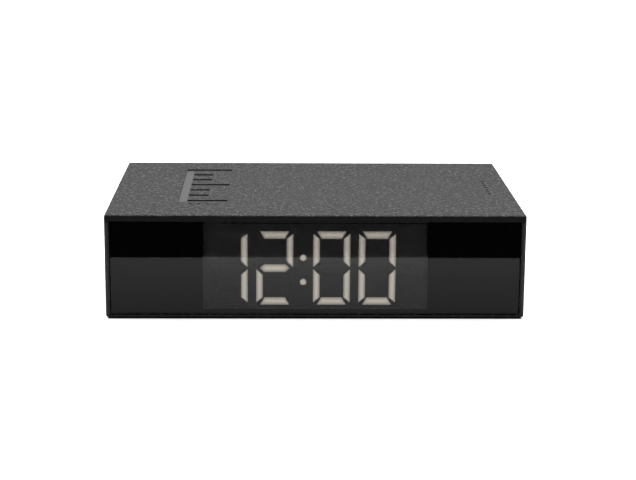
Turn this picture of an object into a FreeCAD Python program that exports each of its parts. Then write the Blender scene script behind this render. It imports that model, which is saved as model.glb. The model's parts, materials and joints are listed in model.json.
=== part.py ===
"""Table alarm clock in the shape of a closed book lying flat, with a lit four digit display behind a
smoked window along its spine. Millimetres. +X is to the right of someone facing the display, +Y points
from the display to the back, +Z is up. The origin is at the middle of the footprint, where the feet rest."""

import FreeCAD
import Part
import math
import os
from FreeCAD import Vector

# Outer size
body_width = 144.0
body_depth = 96.0
body_height = 36.05
foot_stand = 0.6
edge_radius = 0.7

# Housing walls
side_wall = 1.6
rear_wall = 3.2
top_plate = 2.3
base_plate = 2.0
seam_gap = 0.15

# Window, the foil behind it and the ledge that it stands against
lens_thickness = 2.0
lens_recess = 0.3
lens_gap = 0.1
lens_lip = 0.9
mask_thickness = 0.2
mask_margin = 0.2
ledge_thickness = 1.6
ledge_side = 3.0
ledge_top = 1.0
ledge_bottom = 1.6

# Marks sunk in the top: a scale and two rows of dots
scale_length = 59.8
scale_height = 17.4
scale_left = 23.8
scale_from_front = 21.4
scale_depth = 0.5
scale_bars = 7
scale_bar_width = 3.4
scale_spine_width = 3.2
scale_short_share = 0.6
dot_radius = 0.7
dot_depth = 0.4
dot_pitch = 3.0
dot_count = 4
dots_before_scale = 3.2
dots_inset = 4.5
side_dot_pitch = 3.8
side_dot_count = 7
side_dot_inset = 8.5

# Display module
display_gap = 0.15
display_foot = 0.15
display_clearance = 1.15
rib_margin = 0.75
film_thickness = 0.15
case_depth = 8.0
digit_foot = 1.35
digit_height = 26.1
digit_width = 12.8
digit_space = 2.9
colon_space = 3.9
digit_left_margin = 2.25
indicator_column = 10.65
bar_thickness = 2.7
post_thickness = 2.3
bar_end_inset = 1.35
bar_end_slant = 1.5
post_tip_drop = 0.8
post_end_slant = 1.8
post_middle_gap = 0.3
post_middle_slant = 2.1
colon_radius = 1.15
colon_spread = 8.6
colon_drop = 0.6
indicator_radius = 0.9
indicator_spread = 7.0
segment_depth = 5.0
board_thickness = 1.6
board_ear = 9.0
led_length = 1.6
led_width = 0.8
led_height = 0.7

# Fasteners
housing_screw_radius = 1.5
housing_screw_length = 10.0
housing_head_radius = 2.75
housing_head_height = 1.8
housing_boss_radius = 3.5
housing_pad_height = 1.6
screw_inset_x = 11.0
screw_inset_y = 21.0
small_screw_radius = 1.0
small_screw_length = 4.5
small_head_radius = 1.9
small_head_height = 1.2
small_boss_radius = 2.5
screw_gap = 0.25

# Feet and label
foot_radius = 5.0
foot_pocket = 0.6
foot_inset_x = 11.0
foot_inset_y = 9.0
foot_gap = 0.1
label_length = 40.0
label_width = 17.0
label_thickness = 0.12

# Rear control panel
panel_side = 19.0
panel_height = 20.0
panel_thickness = 1.2
panel_recess = 1.2
panel_gap = 0.1
panel_land = 3.0
panel_corner = 2.5
station_count = 10
first_button_station = 0.6
switch_station = 5.8
buzzer_station = 7.4
usb_station = 9.0
button_names = ("set", "alarm", "down", "up", "light")
button_space = 3.2
button_height = 4.6
button_gap = 0.2
button_proud = 1.0
button_travel = 0.3
flange_reach = 0.8
flange_thickness = 1.2
flange_gap = 0.1
tact_size = 6.0
tact_height = 3.5
plunger_radius = 1.75
plunger_height = 1.5
plunger_sink = 0.3
plunger_gap = 0.1
knob_length = 3.2
knob_height = 2.8
knob_travel = 2.5
knob_proud = 0.8
knob_gap = 0.2
switch_height = 3.8
usb_width = 8.94
usb_height = 3.26
usb_wall = 0.3
usb_gap = 0.35
usb_recess = 0.3
tongue_width = 6.7
tongue_thickness = 0.7
tongue_setback = 1.2
buzzer_radius = 6.0
buzzer_gap = 0.7
sound_hole_radius = 0.6
sound_ring_radius = 3.0

# Main board
board_low_gap = 1.5
board_high_gap = 3.0
board_screw_inset = 3.0

# Board pieces. A station is a step along the rear panel, and a rise is above the controls' middle.
clock_chip_size = (17.9, 7.5, 2.3)
clock_chip_legs = 14
clock_chip_station = 2.6
clock_chip_rise = -3.0
driver_size = (10.0, 4.0, 1.6)
driver_legs = 8
driver_x = 20.0
leg_width = 0.4
leg_reach = 1.2
crystal_radius = 1.5
crystal_length = 8.0
crystal_station = 4.3
crystal_rise = -6.0
capacitor_radius = 3.15
capacitor_height = 7.0
capacitor_stations = (5.6, 6.5)
capacitor_rise = 5.0
regulator_size = (6.5, 3.5, 1.6)
regulator_tab_width = 3.0
regulator_tab_reach = 1.65
regulator_tab_thickness = 0.5
regulator_station = 6.2
regulator_rise = -5.0
resistor_size = (2.0, 1.2, 0.5)
resistor_pitch = 2.8
resistor_row_pitch = 2.0
resistor_group_pitch = 4.5
resistor_columns = 3
resistor_station = 0.4
resistor_rise = -8.0
sensor_radius = 2.0
sensor_length = 9.0
sensor_station = 8.9
sensor_rise = -4.0
socket_rim = 1.5
sound_ring_holes = 6
buzzer_mouth_radius = 1.0
buzzer_mouth_depth = 1.5
switch_margin = 1.2

# Battery bay
cell_count = 3
cell_radius = 5.25
cell_length = 44.5
cell_gap = 0.4
cell_nub_radius = 1.9
cell_nub_height = 1.0
cell_floor_gap = 0.3
cell_roof_gap = 0.5
contact_thickness = 0.4
contact_half_width = 4.0
tab_width = 2.2
tab_rise = 3.0
spring_length = 3.6
spring_radius = 2.6
spring_wire = 0.3
spring_turns = 3.5
spring_sides = 10
bay_wall = 1.2
door_thickness = 1.6
door_margin = 3.2
door_gap = 0.25
door_corner = 2.0
ring_height = 1.4
ring_width = 1.8
hook_count = 2
hook_width = 6.0
hook_spread = 20.0
hook_reach = 2.2
hook_thickness = 1.2
hook_root = 1.5
hook_gap = 0.3
latch_width = 12.0
latch_length = 7.0
latch_slit = 0.8
scoop_length = 5.0
scoop_depth = 1.0
grip_ridges = 4
grip_pitch = 1.6
grip_depth = 0.4

# Wiring
ribbon_width = 12.0
ribbon_thickness = 0.3
ribbon_socket_depth = 4.0
ribbon_socket_height = 5.0
ribbon_clearance = 3.0
ribbon_rise = 5.0
lead_radius = 0.5
lead_rise = 9.0
lead_approach = 6.5
lead_spacing = 2.0
battery_socket_x = 30.0
battery_socket_size = 6.0
battery_socket_rise = 5.0

# Levels and planes that follow from the sizes above
half_width = body_width / 2
front = -body_depth / 2
back = body_depth / 2
base_bottom = foot_stand
floor = base_bottom + base_plate
body_top = base_bottom + body_height
ceiling = body_top - top_plate
inner_half_width = half_width - side_wall
inner_back = back - rear_wall

lens_front = front + lens_recess
lens_back = lens_front + lens_thickness
lens_low = base_bottom + lens_lip + lens_gap
lens_high = ceiling - lens_gap
lens_half_width = inner_half_width - lens_gap
ledge_front = lens_back + mask_thickness
ledge_back = ledge_front + ledge_thickness

display_low = floor + display_foot
display_high = ceiling - display_clearance
display_middle = (display_low + display_high) / 2
digit_low = display_low + digit_foot
digit_middle = digit_low + digit_height / 2
digit_pitch = digit_width + digit_space
display_width = digit_left_margin + 4 * digit_width + 3 * digit_space + colon_space + indicator_column
film_front = ledge_back + display_gap
case_front = film_front + film_thickness
case_back = case_front + case_depth
display_board_back = case_back + board_thickness
display_board_half = display_width / 2 + board_ear
display_rib_x = display_width / 2 + board_ear / 2
rib_low = lens_low + ledge_bottom + seam_gap
display_screw_rise = (display_high - display_low) / 3
ribbon_x = -display_width / 2

panel_half_width = half_width - panel_side
panel_front = back - panel_recess - panel_thickness
panel_back = back - panel_recess
opening_half_width = panel_half_width - panel_land
opening_height = panel_height - 2 * panel_land
station_pitch = 2 * opening_half_width / station_count
flange_back = panel_front - flange_gap
flange_front = flange_back - flange_thickness
tact_top = flange_front - plunger_height
board_back = tact_top - tact_height
board_front = board_back - board_thickness
board_low = floor + board_low_gap
board_high = ceiling - board_high_gap
control_height = (board_low + board_high) / 2
board_boss_x = panel_half_width + small_boss_radius + panel_gap
board_half_width = board_boss_x + board_screw_inset
board_boss_rise = (board_high - board_low) / 2 - board_screw_inset
button_width = station_pitch - button_space

door_top = base_bottom + door_thickness
cell_pitch = 2 * cell_radius + cell_gap
cell_axis = door_top + cell_floor_gap + cell_radius
bay_ceiling = cell_axis + cell_radius + cell_roof_gap
bay_top = bay_ceiling + bay_wall
bay_half_length = (cell_length + spring_length) / 2 + contact_thickness
bay_half_width = cell_count * cell_pitch / 2
bay_y = (display_board_back + board_front) / 2
door_half_length = bay_half_length + door_margin
door_half_width = bay_half_width + door_margin
hinge_x = -door_half_length - door_gap
hinge_z = base_bottom
contact_inner = bay_half_length - contact_thickness

screw_places = [(sx * (half_width - screw_inset_x), sy * (back - screw_inset_y)) for sx in (-1, 1) for sy in (-1, 1)]
board_screw_places = [(sx * board_boss_x, control_height + sz * board_boss_rise) for sx in (-1, 1) for sz in (-1, 1)]
display_screw_places = [
    (sx * display_rib_x, display_middle + sz * display_screw_rise) for sx in (-1, 1) for sz in (-1, 1)
]


# Helpers

def box(x0, x1, y0, y1, z0, z1):
    """A block between two values on each axis."""
    return Part.makeBox(x1 - x0, y1 - y0, z1 - z0, Vector(x0, y0, z0))


def rod(radius, start, length, direction):
    """A round bar from start, length long, in a direction."""
    return Part.makeCylinder(radius, length, start, direction)


def up(radius, x, y, z0, z1):
    return rod(radius, Vector(x, y, z0), z1 - z0, Vector(0, 0, 1))


def rearward(radius, x, z, y0, y1):
    return rod(radius, Vector(x, y0, z), y1 - y0, Vector(0, 1, 0))


def edges_along(shape, axis):
    """The straight edges of a shape that run along an axis."""
    found = []
    for edge in shape.Edges:
        if len(edge.Vertexes) != 2:
            continue
        run = edge.Vertexes[1].Point - edge.Vertexes[0].Point
        if abs(abs(run.dot(axis)) - run.Length) < 1e-6:
            found.append(edge)
    return found


def rounded(shape, axis, radius):
    """The shape with its edges along an axis rounded."""
    return shape.makeFillet(radius, edges_along(shape, axis))


def slab_with_round_corners(x0, x1, y0, y1, z0, z1, radius):
    """A rearward block whose four long corners are round, as holes and caps in the rear panel are."""
    return rounded(box(x0, x1, y0, y1, z0, z1), Vector(0, 1, 0), radius)


def prism(points, y0, y1):
    """An outline of (x, z) points, carried from y0 to y1."""
    corners = [Vector(x, y0, z) for x, z in points]
    wire = Part.makePolygon(corners + corners[:1])
    return Part.Face(wire).extrude(Vector(0, y1 - y0, 0))


def joined(shapes):
    """One solid from shapes that touch or overlap."""
    return shapes[0].multiFuse(shapes[1:]).removeSplitter()


def group(solids):
    """Separate solids kept in one node."""
    return Part.makeCompound(solids)


def station(number):
    """X of a control station, counted along the opening behind the rear panel."""
    return -opening_half_width + number * station_pitch


def bent_path(points):
    """Straight runs through the points, with each corner turned by an arc as large as its two runs allow."""
    edges = []
    start = points[0]
    for before, corner, after in zip(points, points[1:], points[2:]):
        into = (corner - before).normalize()
        out = (after - corner).normalize()
        half_turn = into.getAngle(out) / 2
        setback = 0.45 * min((corner - before).Length, (after - corner).Length)
        radius = setback / math.tan(half_turn)
        print("bend radius %.1f mm" % radius)
        enter = corner - into * setback
        leave = corner + out * setback
        inward = (out - into).normalize()
        middle = corner + inward * (radius / math.cos(half_turn) - radius)
        edges.append(Part.LineSegment(start, enter).toShape())
        edges.append(Part.Arc(enter, middle, leave).toShape())
        start = leave
    edges.append(Part.LineSegment(start, points[-1]).toShape())
    return Part.Wire(edges)


def lead(points):
    """A round insulated wire along a bent path."""
    path = bent_path(points)
    section = Part.Wire(Part.makeCircle(lead_radius, points[0], points[1] - points[0]))
    return path.makePipeShell([section], True, False)


def screw(radius, length, head_radius, head_height, seat, direction):
    """A pan head screw. The head stands on seat, and the shank runs from it in a direction."""
    head_end = seat - direction * head_height
    head = rod(head_radius, head_end, head_height, direction)
    shank = rod(radius, seat, length - radius, direction)
    tip = Part.makeCone(radius, 0.2 * radius, radius, seat + direction * (length - radius), direction)
    slot = 0.28 * head_radius
    across = direction.cross(Vector(1, 0, 0))
    cutters = []
    for side in (Vector(1, 0, 0), across):
        other = direction.cross(side)
        corner = head_end - side * 0.62 * head_radius - other * slot / 2 - direction * 0.01
        bar = Part.makeBox(1.24 * head_radius, slot, 0.6 * head_height)
        frame = FreeCAD.Matrix(
            side.x, other.x, direction.x, corner.x,
            side.y, other.y, direction.y, corner.y,
            side.z, other.z, direction.z, corner.z,
            0, 0, 0, 1,
        )
        cutters.append(bar.transformed(frame))
    return joined([head, shank, tip]).cut(joined(cutters))


# Housing

def scale_boxes():
    """The sunk spine and bars of the scale: every third bar is long, and they stack from front to back."""
    left = -half_width + scale_left
    start = front + scale_from_front
    step = (scale_length - scale_bar_width) / (scale_bars - 1)
    depth = body_top - scale_depth
    bars = [box(left, left + scale_spine_width, start, start + scale_length, depth, body_top + 1)]
    for i in range(scale_bars):
        share = 1.0 if i % 3 == 0 else scale_short_share
        y = start + i * step
        bars.append(box(left, left + share * scale_height, y, y + scale_bar_width, depth, body_top + 1))
    return bars


def dimple_rows():
    """Two rows of shallow round dimples: one across, before the scale, and one along the right side."""
    before = front + scale_from_front - dots_before_scale
    start = -half_width + scale_left + dots_inset
    across = [(start + dot_pitch * i, before) for i in range(dot_count)]
    middle = (side_dot_count - 1) / 2
    along = [(half_width - side_dot_inset, side_dot_pitch * (i - middle)) for i in range(side_dot_count)]
    return [up(dot_radius, x, y, body_top - dot_depth, body_top + 1) for x, y in across + along]


def window_ledge():
    """The inner frame behind the window: two sides and a narrow top."""
    sides = [
        box(s - ledge_side * (s > 0), s + ledge_side * (s < 0), ledge_front, ledge_back, floor + seam_gap, ceiling)
        for s in (-inner_half_width, inner_half_width)
    ]
    top = box(-inner_half_width, inner_half_width, ledge_front, ledge_back, ceiling - ledge_top, ceiling)
    return sides + [top]


def display_ribs():
    """Two hanging ribs that the display board's ears are screwed to."""
    half = board_ear / 2 - rib_margin
    return [
        box(x - half, x + half, ledge_back - 0.5, case_back, rib_low, ceiling)
        for x in (-display_rib_x, display_rib_x)
    ]


def top_shell():
    outer = box(-half_width, half_width, front, back, base_bottom, body_top)
    outer = outer.makeFillet(edge_radius, outer.Edges)
    cavity = box(-inner_half_width, inner_half_width, front - 1, inner_back, base_bottom - 1, ceiling)
    shell = outer.cut(cavity)
    added = window_ledge() + display_ribs()
    for x, y in screw_places:
        added.append(up(housing_boss_radius, x, y, floor + housing_pad_height, ceiling))
    for x, z in board_screw_places:
        added.append(rearward(small_boss_radius, x, z, board_back, inner_back))
    shell = joined([shell] + added)
    half_opening = opening_height / 2
    half_panel = panel_height / 2
    cutters = scale_boxes() + dimple_rows()
    cutters.append(
        slab_with_round_corners(
            -opening_half_width, opening_half_width, inner_back - 1, back + 1,
            control_height - half_opening, control_height + half_opening, panel_corner / 2,
        )
    )
    cutters.append(
        slab_with_round_corners(
            -panel_half_width - panel_gap, panel_half_width + panel_gap, panel_front, back + 1,
            control_height - half_panel - panel_gap, control_height + half_panel + panel_gap, panel_corner,
        )
    )
    pilot_low = floor + housing_pad_height - 1
    for x, y in screw_places:
        cutters.append(up(housing_screw_radius, x, y, pilot_low, base_bottom + housing_screw_length + base_plate + 2))
    for x, z in board_screw_places:
        cutters.append(rearward(small_screw_radius, x, z, board_back - 1, board_front + small_screw_length))
    for x, z in display_screw_places:
        pilot_end = display_board_back - small_screw_length
        cutters.append(rearward(small_screw_radius, x, z, pilot_end, case_back + 1))
    return shell.cut(group(cutters)).removeSplitter()


def foot_places():
    """Foot name to its centre."""
    x = half_width - foot_inset_x
    y = back - foot_inset_y
    return {
        "foot_front_left": (-x, -y),
        "foot_front_right": (x, -y),
        "foot_rear_left": (-x, y),
        "foot_rear_right": (x, y),
    }


def battery_bay_walls():
    """The box over the cells and the ring that the door lies in."""
    wall_x = bay_half_length + bay_wall
    wall_y = bay_half_width + bay_wall
    ring_x = door_half_length + door_gap + ring_width
    ring_y = door_half_width + door_gap + ring_width
    bay = box(-wall_x, wall_x, bay_y - wall_y, bay_y + wall_y, door_top, bay_top)
    ring = box(-ring_x, ring_x, bay_y - ring_y, bay_y + ring_y, base_bottom + base_plate / 2, door_top + ring_height)
    return [bay, ring]


def tab_places():
    """(x of the contact's inner face, side, y) of the two end contacts, which have solder tabs."""
    first = bay_y - cell_pitch * (cell_count - 1) / 2
    last = bay_y + cell_pitch * (cell_count - 1) / 2
    return [(contact_inner, 1, first), (-contact_inner, -1, last)]


def door_hook_ys():
    """Where the door's hooks stand along its hinge edge."""
    return [bay_y + hook_spread * (i - (hook_count - 1) / 2) for i in range(hook_count)]


def battery_bay_cutters():
    """What is cut from the base for the door, the cells, the hooks, the solder tabs and a fingertip."""
    gap = door_gap
    door_hole = box(
        hinge_x, door_half_length + gap, bay_y - door_half_width - gap, bay_y + door_half_width + gap,
        base_bottom - 1, door_top,
    )
    inside = box(
        -bay_half_length, bay_half_length, bay_y - bay_half_width, bay_y + bay_half_width, door_top - 1, bay_ceiling,
    )
    cutters = [rounded(door_hole, Vector(0, 0, 1), door_corner), inside]
    swing_x = hook_reach + gap + hook_gap
    swing_z = door_thickness + hook_thickness + hook_gap
    swing = math.hypot(swing_x, swing_z)
    for y in door_hook_ys():
        half = hook_width / 2 + hook_gap
        sweep = rod(swing, Vector(hinge_x, y - half, hinge_z), 2 * half, Vector(0, 1, 0))
        floor_block = box(
            hinge_x - 2 * swing, hinge_x, y - half - 1, y + half + 1,
            hinge_z - 2 * swing, hinge_z + door_thickness - hook_gap,
        )
        cutters.append(sweep.cut(floor_block))
    for inner, side, y in tab_places():
        x0, x1 = sorted((inner - side * hook_gap / 2, inner + side * (contact_thickness + hook_gap / 2)))
        half = tab_width / 2 + hook_gap / 2
        cutters.append(box(x0, x1, y - half, y + half, bay_ceiling - 0.5, bay_top + 1))
    scoop_x = door_half_length + gap
    scoop_radius = (scoop_length ** 2 + scoop_depth ** 2) / (2 * scoop_depth)
    scoop = rod(
        scoop_radius, Vector(scoop_x, bay_y - latch_width / 2, base_bottom + scoop_depth - scoop_radius),
        latch_width, Vector(0, 1, 0),
    )
    keep = box(scoop_x - 0.5, scoop_x + scoop_length, bay_y - latch_width, bay_y + latch_width, -2, floor)
    cutters.append(scoop.common(keep))
    return cutters


def bottom_cover():
    half = inner_half_width - seam_gap
    plate = box(-half, half, front, inner_back - seam_gap, base_bottom, floor)
    rebate = box(-half - 1, half + 1, front - 1, ledge_front, base_bottom + lens_lip, floor + 1)
    plate = plate.cut(rebate)
    lip_edges = [
        e for e in edges_along(plate, Vector(1, 0, 0))
        if e.CenterOfMass.y < front + 0.01 and e.CenterOfMass.z < base_bottom + 0.01
    ]
    plate = plate.makeFillet(min(edge_radius, 0.6 * lens_lip), lip_edges)
    rib_half = inner_half_width - ledge_side - seam_gap
    added = [box(-rib_half, rib_half, ledge_front, ledge_back, floor - 0.5, lens_low + ledge_bottom)]
    for x, y in screw_places:
        added.append(up(housing_boss_radius + 1, x, y, floor - 0.5, floor + housing_pad_height))
    body = joined([plate] + added + battery_bay_walls())
    cutters = battery_bay_cutters()
    for x, y in foot_places().values():
        cutters.append(up(foot_radius + foot_gap, x, y, base_bottom - 1, base_bottom + foot_pocket))
    for x, y in screw_places:
        seat = base_bottom + housing_head_height + screw_gap
        cutters.append(up(housing_head_radius + screw_gap, x, y, base_bottom - 1, seat))
        cutters.append(up(housing_screw_radius + screw_gap, x, y, base_bottom, floor + housing_pad_height + 1))
    return body.cut(group(cutters)).removeSplitter()


def battery_door():
    """The door, its hooks at the hinge edge, and a springy latch tongue between two slits at the other edge."""
    plate = box(
        -door_half_length, door_half_length, bay_y - door_half_width, bay_y + door_half_width, base_bottom, door_top,
    )
    plate = rounded(plate, Vector(0, 0, 1), door_corner)
    hooks = [
        box(
            hinge_x - hook_reach, hinge_x + door_gap + hook_root, y - hook_width / 2, y + hook_width / 2,
            door_top, door_top + hook_thickness,
        )
        for y in door_hook_ys()
    ]
    cutters = []
    for side in (-1, 1):
        y = bay_y + side * (latch_width / 2 - latch_slit / 2)
        cutters.append(
            box(
                door_half_length - latch_length, door_half_length + 1, y - latch_slit / 2, y + latch_slit / 2,
                base_bottom - 1, door_top + 1,
            )
        )
    ridge_half = latch_width / 2 - 2 * latch_slit
    for i in range(grip_ridges):
        x = door_half_length - grip_pitch * (i + 0.7)
        cutters.append(
            box(x - grip_pitch / 2, x, bay_y - ridge_half, bay_y + ridge_half, base_bottom - 1, base_bottom + grip_depth)
        )
    return joined([plate] + hooks).cut(group(cutters))


def front_lens():
    lens = box(-lens_half_width, lens_half_width, lens_front, lens_back, lens_low, lens_high)
    rim = [e for e in lens.Edges if e.CenterOfMass.y < lens_front + 0.01]
    return lens.makeChamfer(0.2, rim)


def lens_mask():
    """Black adhesive foil behind the window. It holds the window to its ledge and leaves only the display clear."""
    outer = box(-lens_half_width, lens_half_width, lens_back, ledge_front, lens_low, lens_high)
    side = display_width / 2 + mask_margin
    window = box(-side, side, lens_back - 1, ledge_front + 1, lens_low + ledge_bottom, ceiling - ledge_top)
    return outer.cut(window)


def feet():
    """Name to shape for the four rubber feet, each with a softened lower rim."""
    made = {}
    for name, (x, y) in foot_places().items():
        pad = up(foot_radius, x, y, 0, base_bottom + foot_pocket)
        rim = [e for e in pad.Edges if e.CenterOfMass.z < 0.01 and len(e.Vertexes) == 1]
        made[name] = pad.makeChamfer(min(0.3, foot_stand / 2), rim)
    return made


def rating_label():
    """A plain blank label on the underside, in front of the battery door."""
    door_front = bay_y - door_half_width - door_gap
    y = (front + door_front) / 2
    label = box(
        -label_length / 2, label_length / 2, y - label_width / 2, y + label_width / 2,
        base_bottom - label_thickness, base_bottom,
    )
    return rounded(label, Vector(0, 0, 1), 1.5)


def housing_screws():
    seat = base_bottom + housing_head_height + screw_gap
    return group([
        screw(
            housing_screw_radius, housing_screw_length, housing_head_radius, housing_head_height,
            Vector(x, y, seat), Vector(0, 0, 1),
        )
        for x, y in screw_places
    ])


# Display

def digit_lefts():
    """X of the left side of each digit."""
    left = -display_width / 2 + digit_left_margin
    return [left + i * digit_pitch + (colon_space if i > 1 else 0) for i in range(4)]


def segment_outlines(left):
    """Name to outline of a digit's seven bars: a top, b and c right, d bottom, e and f left, g middle."""
    w = digit_width
    h = digit_height
    bar = [
        (bar_end_inset, h),
        (w - bar_end_inset, h),
        (w - bar_end_inset - bar_end_slant, h - bar_thickness),
        (bar_end_inset + bar_end_slant, h - bar_thickness),
    ]
    post = [
        (w, h - post_tip_drop),
        (w, h / 2 + post_middle_gap),
        (w - post_thickness, h / 2 + post_middle_gap + post_middle_slant),
        (w - post_thickness, h - post_tip_drop - post_end_slant),
    ]
    half_bar = bar_thickness / 2
    middle = [
        (bar_end_inset, h / 2),
        (bar_end_inset + half_bar, h / 2 + half_bar),
        (w - bar_end_inset - half_bar, h / 2 + half_bar),
        (w - bar_end_inset, h / 2),
        (w - bar_end_inset - half_bar, h / 2 - half_bar),
        (bar_end_inset + half_bar, h / 2 - half_bar),
    ]

    def mirrored(points, sideways, upside_down):
        return [(w - x if sideways else x, h - z if upside_down else z) for x, z in points]

    shapes = {
        "a": bar,
        "b": post,
        "c": mirrored(post, False, True),
        "d": mirrored(bar, False, True),
        "e": mirrored(post, True, True),
        "f": mirrored(post, True, False),
        "g": middle,
    }
    return {name: [(left + x, digit_low + z) for x, z in points] for name, points in shapes.items()}


def shown_digits():
    """The lit bars of each digit at twelve o'clock."""
    return ("bc", "abdeg", "abcdef", "abcdef")


def all_segments():
    """(outline, lit) of every bar in the display."""
    found = []
    for left, lit in zip(digit_lefts(), shown_digits()):
        for name, outline in segment_outlines(left).items():
            found.append((outline, name in lit))
    return found


def colon_places():
    x = digit_lefts()[1] + digit_width + (digit_space + colon_space) / 2
    return [(x, digit_middle - colon_drop + s * colon_spread / 2) for s in (-1, 1)]


def indicator_places():
    x = display_width / 2 - indicator_column / 2
    return [(x, digit_middle + i * indicator_spread) for i in (-1, 0, 1)]


def display_case():
    """The reflector: an opaque block with a well for each bar and dot."""
    case = box(-display_width / 2, display_width / 2, case_front, case_back, display_low, display_high)
    wells = [prism(outline, case_front - 1, case_back + 1) for outline, lit in all_segments()]
    wells += [rearward(colon_radius, x, z, case_front - 1, case_back + 1) for x, z in colon_places()]
    wells += [rearward(indicator_radius, x, z, case_front - 1, case_back + 1) for x, z in indicator_places()]
    return case.cut(group(wells))


def display_film():
    return box(-display_width / 2, display_width / 2, film_front, case_front, display_low, display_high)


def segments(want_lit):
    """The clear cast bars that fill the front of the lit wells, or of the dark ones."""
    end = case_front + segment_depth
    return group([prism(outline, case_front, end) for outline, lit in all_segments() if lit == want_lit])


def window_dots(radius, places):
    return group([rearward(radius, x, z, case_front, case_front + segment_depth) for x, z in places])


def display_board():
    board = box(-display_board_half, display_board_half, case_back, display_board_back, display_low, display_high)
    board = rounded(board, Vector(0, 1, 0), 1.0)
    holes = [
        rearward(small_screw_radius + screw_gap, x, z, case_back - 1, display_board_back + 1)
        for x, z in display_screw_places
    ]
    return board.cut(group(holes))


def led_at(x, z):
    return box(
        x - led_length / 2, x + led_length / 2, case_back - led_height, case_back, z - led_width / 2, z + led_width / 2,
    )


def display_leds():
    """One light emitting chip on the board under each bar and dot."""
    centres = []
    for outline, lit in all_segments():
        xs = [p[0] for p in outline]
        zs = [p[1] for p in outline]
        centres.append(((min(xs) + max(xs)) / 2, (min(zs) + max(zs)) / 2))
    return group([led_at(x, z) for x, z in centres + colon_places() + indicator_places()])


def display_socket():
    half = ribbon_width / 2 + socket_rim
    return box(
        ribbon_x - half, ribbon_x + half, display_board_back, display_board_back + ribbon_socket_depth,
        control_height - ribbon_socket_height / 2, control_height + ribbon_socket_height / 2,
    )


def packaged_chip(x, z, size, leg_count, face, away):
    """A chip on a board's face, with its legs along the upper and lower edge. away is the way off the board."""
    length, height, depth = size
    y0, y1 = sorted((face, face + away * depth))
    body = box(x - length / 2, x + length / 2, y0, y1, z - height / 2, z + height / 2)
    leg_y0, leg_y1 = sorted((face, face + away * depth / 3))
    pitch = length / leg_count
    legs = []
    for i in range(leg_count):
        leg_x = x - length / 2 + pitch * (i + 0.5)
        x0 = leg_x - leg_width / 2
        x1 = leg_x + leg_width / 2
        legs.append(box(x0, x1, leg_y0, leg_y1, z - height / 2 - leg_reach, z + height / 2 + leg_reach))
    return joined([body] + legs)


def display_driver():
    return packaged_chip(driver_x, control_height, driver_size, driver_legs, display_board_back, 1)


def display_screws():
    return group([
        screw(
            small_screw_radius, small_screw_length, small_head_radius, small_head_height,
            Vector(x, display_board_back, z), Vector(0, -1, 0),
        )
        for x, z in display_screw_places
    ])


# Main board and controls

def main_board():
    board = box(-board_half_width, board_half_width, board_front, board_back, board_low, board_high)
    board = rounded(board, Vector(0, 1, 0), 1.0)
    holes = [
        rearward(small_screw_radius + screw_gap, x, z, board_front - 1, board_back + 1) for x, z in board_screw_places
    ]
    return board.cut(group(holes))


def board_screws():
    return group([
        screw(
            small_screw_radius, small_screw_length, small_head_radius, small_head_height,
            Vector(x, board_front, z), Vector(0, 1, 0),
        )
        for x, z in board_screw_places
    ])


def button_stations():
    """Button name to its X."""
    return {name: station(first_button_station + i) for i, name in enumerate(button_names)}


def button_cap(x):
    """A round-ended cap through the panel, with a flange behind it that keeps it in."""
    half_w = button_width / 2
    half_h = button_height / 2
    cap = slab_with_round_corners(
        x - half_w, x + half_w, flange_back - 0.1, panel_back + button_proud,
        control_height - half_h, control_height + half_h, 0.98 * min(half_w, half_h),
    )
    face_edges = [e for e in cap.Edges if e.CenterOfMass.y > panel_back + button_proud - 0.01]
    cap = cap.makeFillet(0.35, face_edges)
    flange = box(
        x - half_w - flange_reach, x + half_w + flange_reach, flange_front, flange_back,
        control_height - half_h - flange_reach, control_height + half_h + flange_reach,
    )
    return joined([cap, flange])


def plunger(x):
    return rearward(plunger_radius, x, control_height, tact_top - plunger_sink, flange_front)


def tact_switches():
    """One switch under each button, with a well that its plunger sinks into."""
    half = tact_size / 2
    well_bottom = tact_top - plunger_sink - 2 * button_travel
    made = []
    for x in button_stations().values():
        body = box(x - half, x + half, board_back, tact_top, control_height - half, control_height + half)
        well = rearward(plunger_radius + plunger_gap, x, control_height, well_bottom, tact_top + 1)
        made.append(body.cut(well))
    return group(made)


def slide_switch_body():
    half = knob_length / 2 + knob_travel / 2 + switch_margin
    x = station(switch_station)
    return box(
        x - half, x + half, board_back, tact_top,
        control_height - switch_height / 2, control_height + switch_height / 2,
    )


def slide_switch_knob():
    """The knob at its off end, with a dust flange that always covers the slot."""
    x = station(switch_station) - knob_travel / 2
    half_l = knob_length / 2
    half_h = knob_height / 2
    knob = box(
        x - half_l, x + half_l, tact_top + flange_gap, panel_back + knob_proud,
        control_height - half_h, control_height + half_h,
    )
    reach = half_l + knob_travel + 2 * knob_gap
    flange = box(
        x - reach, x + reach, flange_back - flange_thickness, flange_back,
        control_height - half_h - flange_reach, control_height + half_h + flange_reach,
    )
    return joined([knob, flange])


def buzzer():
    x = station(buzzer_station)
    can = rearward(buzzer_radius, x, control_height, board_back, panel_front - buzzer_gap)
    mouth_bottom = panel_front - buzzer_gap - buzzer_mouth_depth
    mouth = rearward(buzzer_mouth_radius, x, control_height, mouth_bottom, panel_front)
    return can.cut(mouth)


def stadium(x, half_w, half_h, y0, y1):
    """A round-ended bar that runs rearward."""
    middle = box(x - half_w + half_h, x + half_w - half_h, y0, y1, control_height - half_h, control_height + half_h)
    ends = [rearward(half_h, x + s * (half_w - half_h), control_height, y0, y1) for s in (-1, 1)]
    return joined([middle] + ends)


def usb_shell():
    x = station(usb_station)
    mouth = panel_back - usb_recess
    outer = stadium(x, usb_width / 2, usb_height / 2, board_back, mouth)
    inner = stadium(x, usb_width / 2 - usb_wall, usb_height / 2 - usb_wall, board_back + 1.0, mouth + 1)
    return outer.cut(inner)


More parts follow.
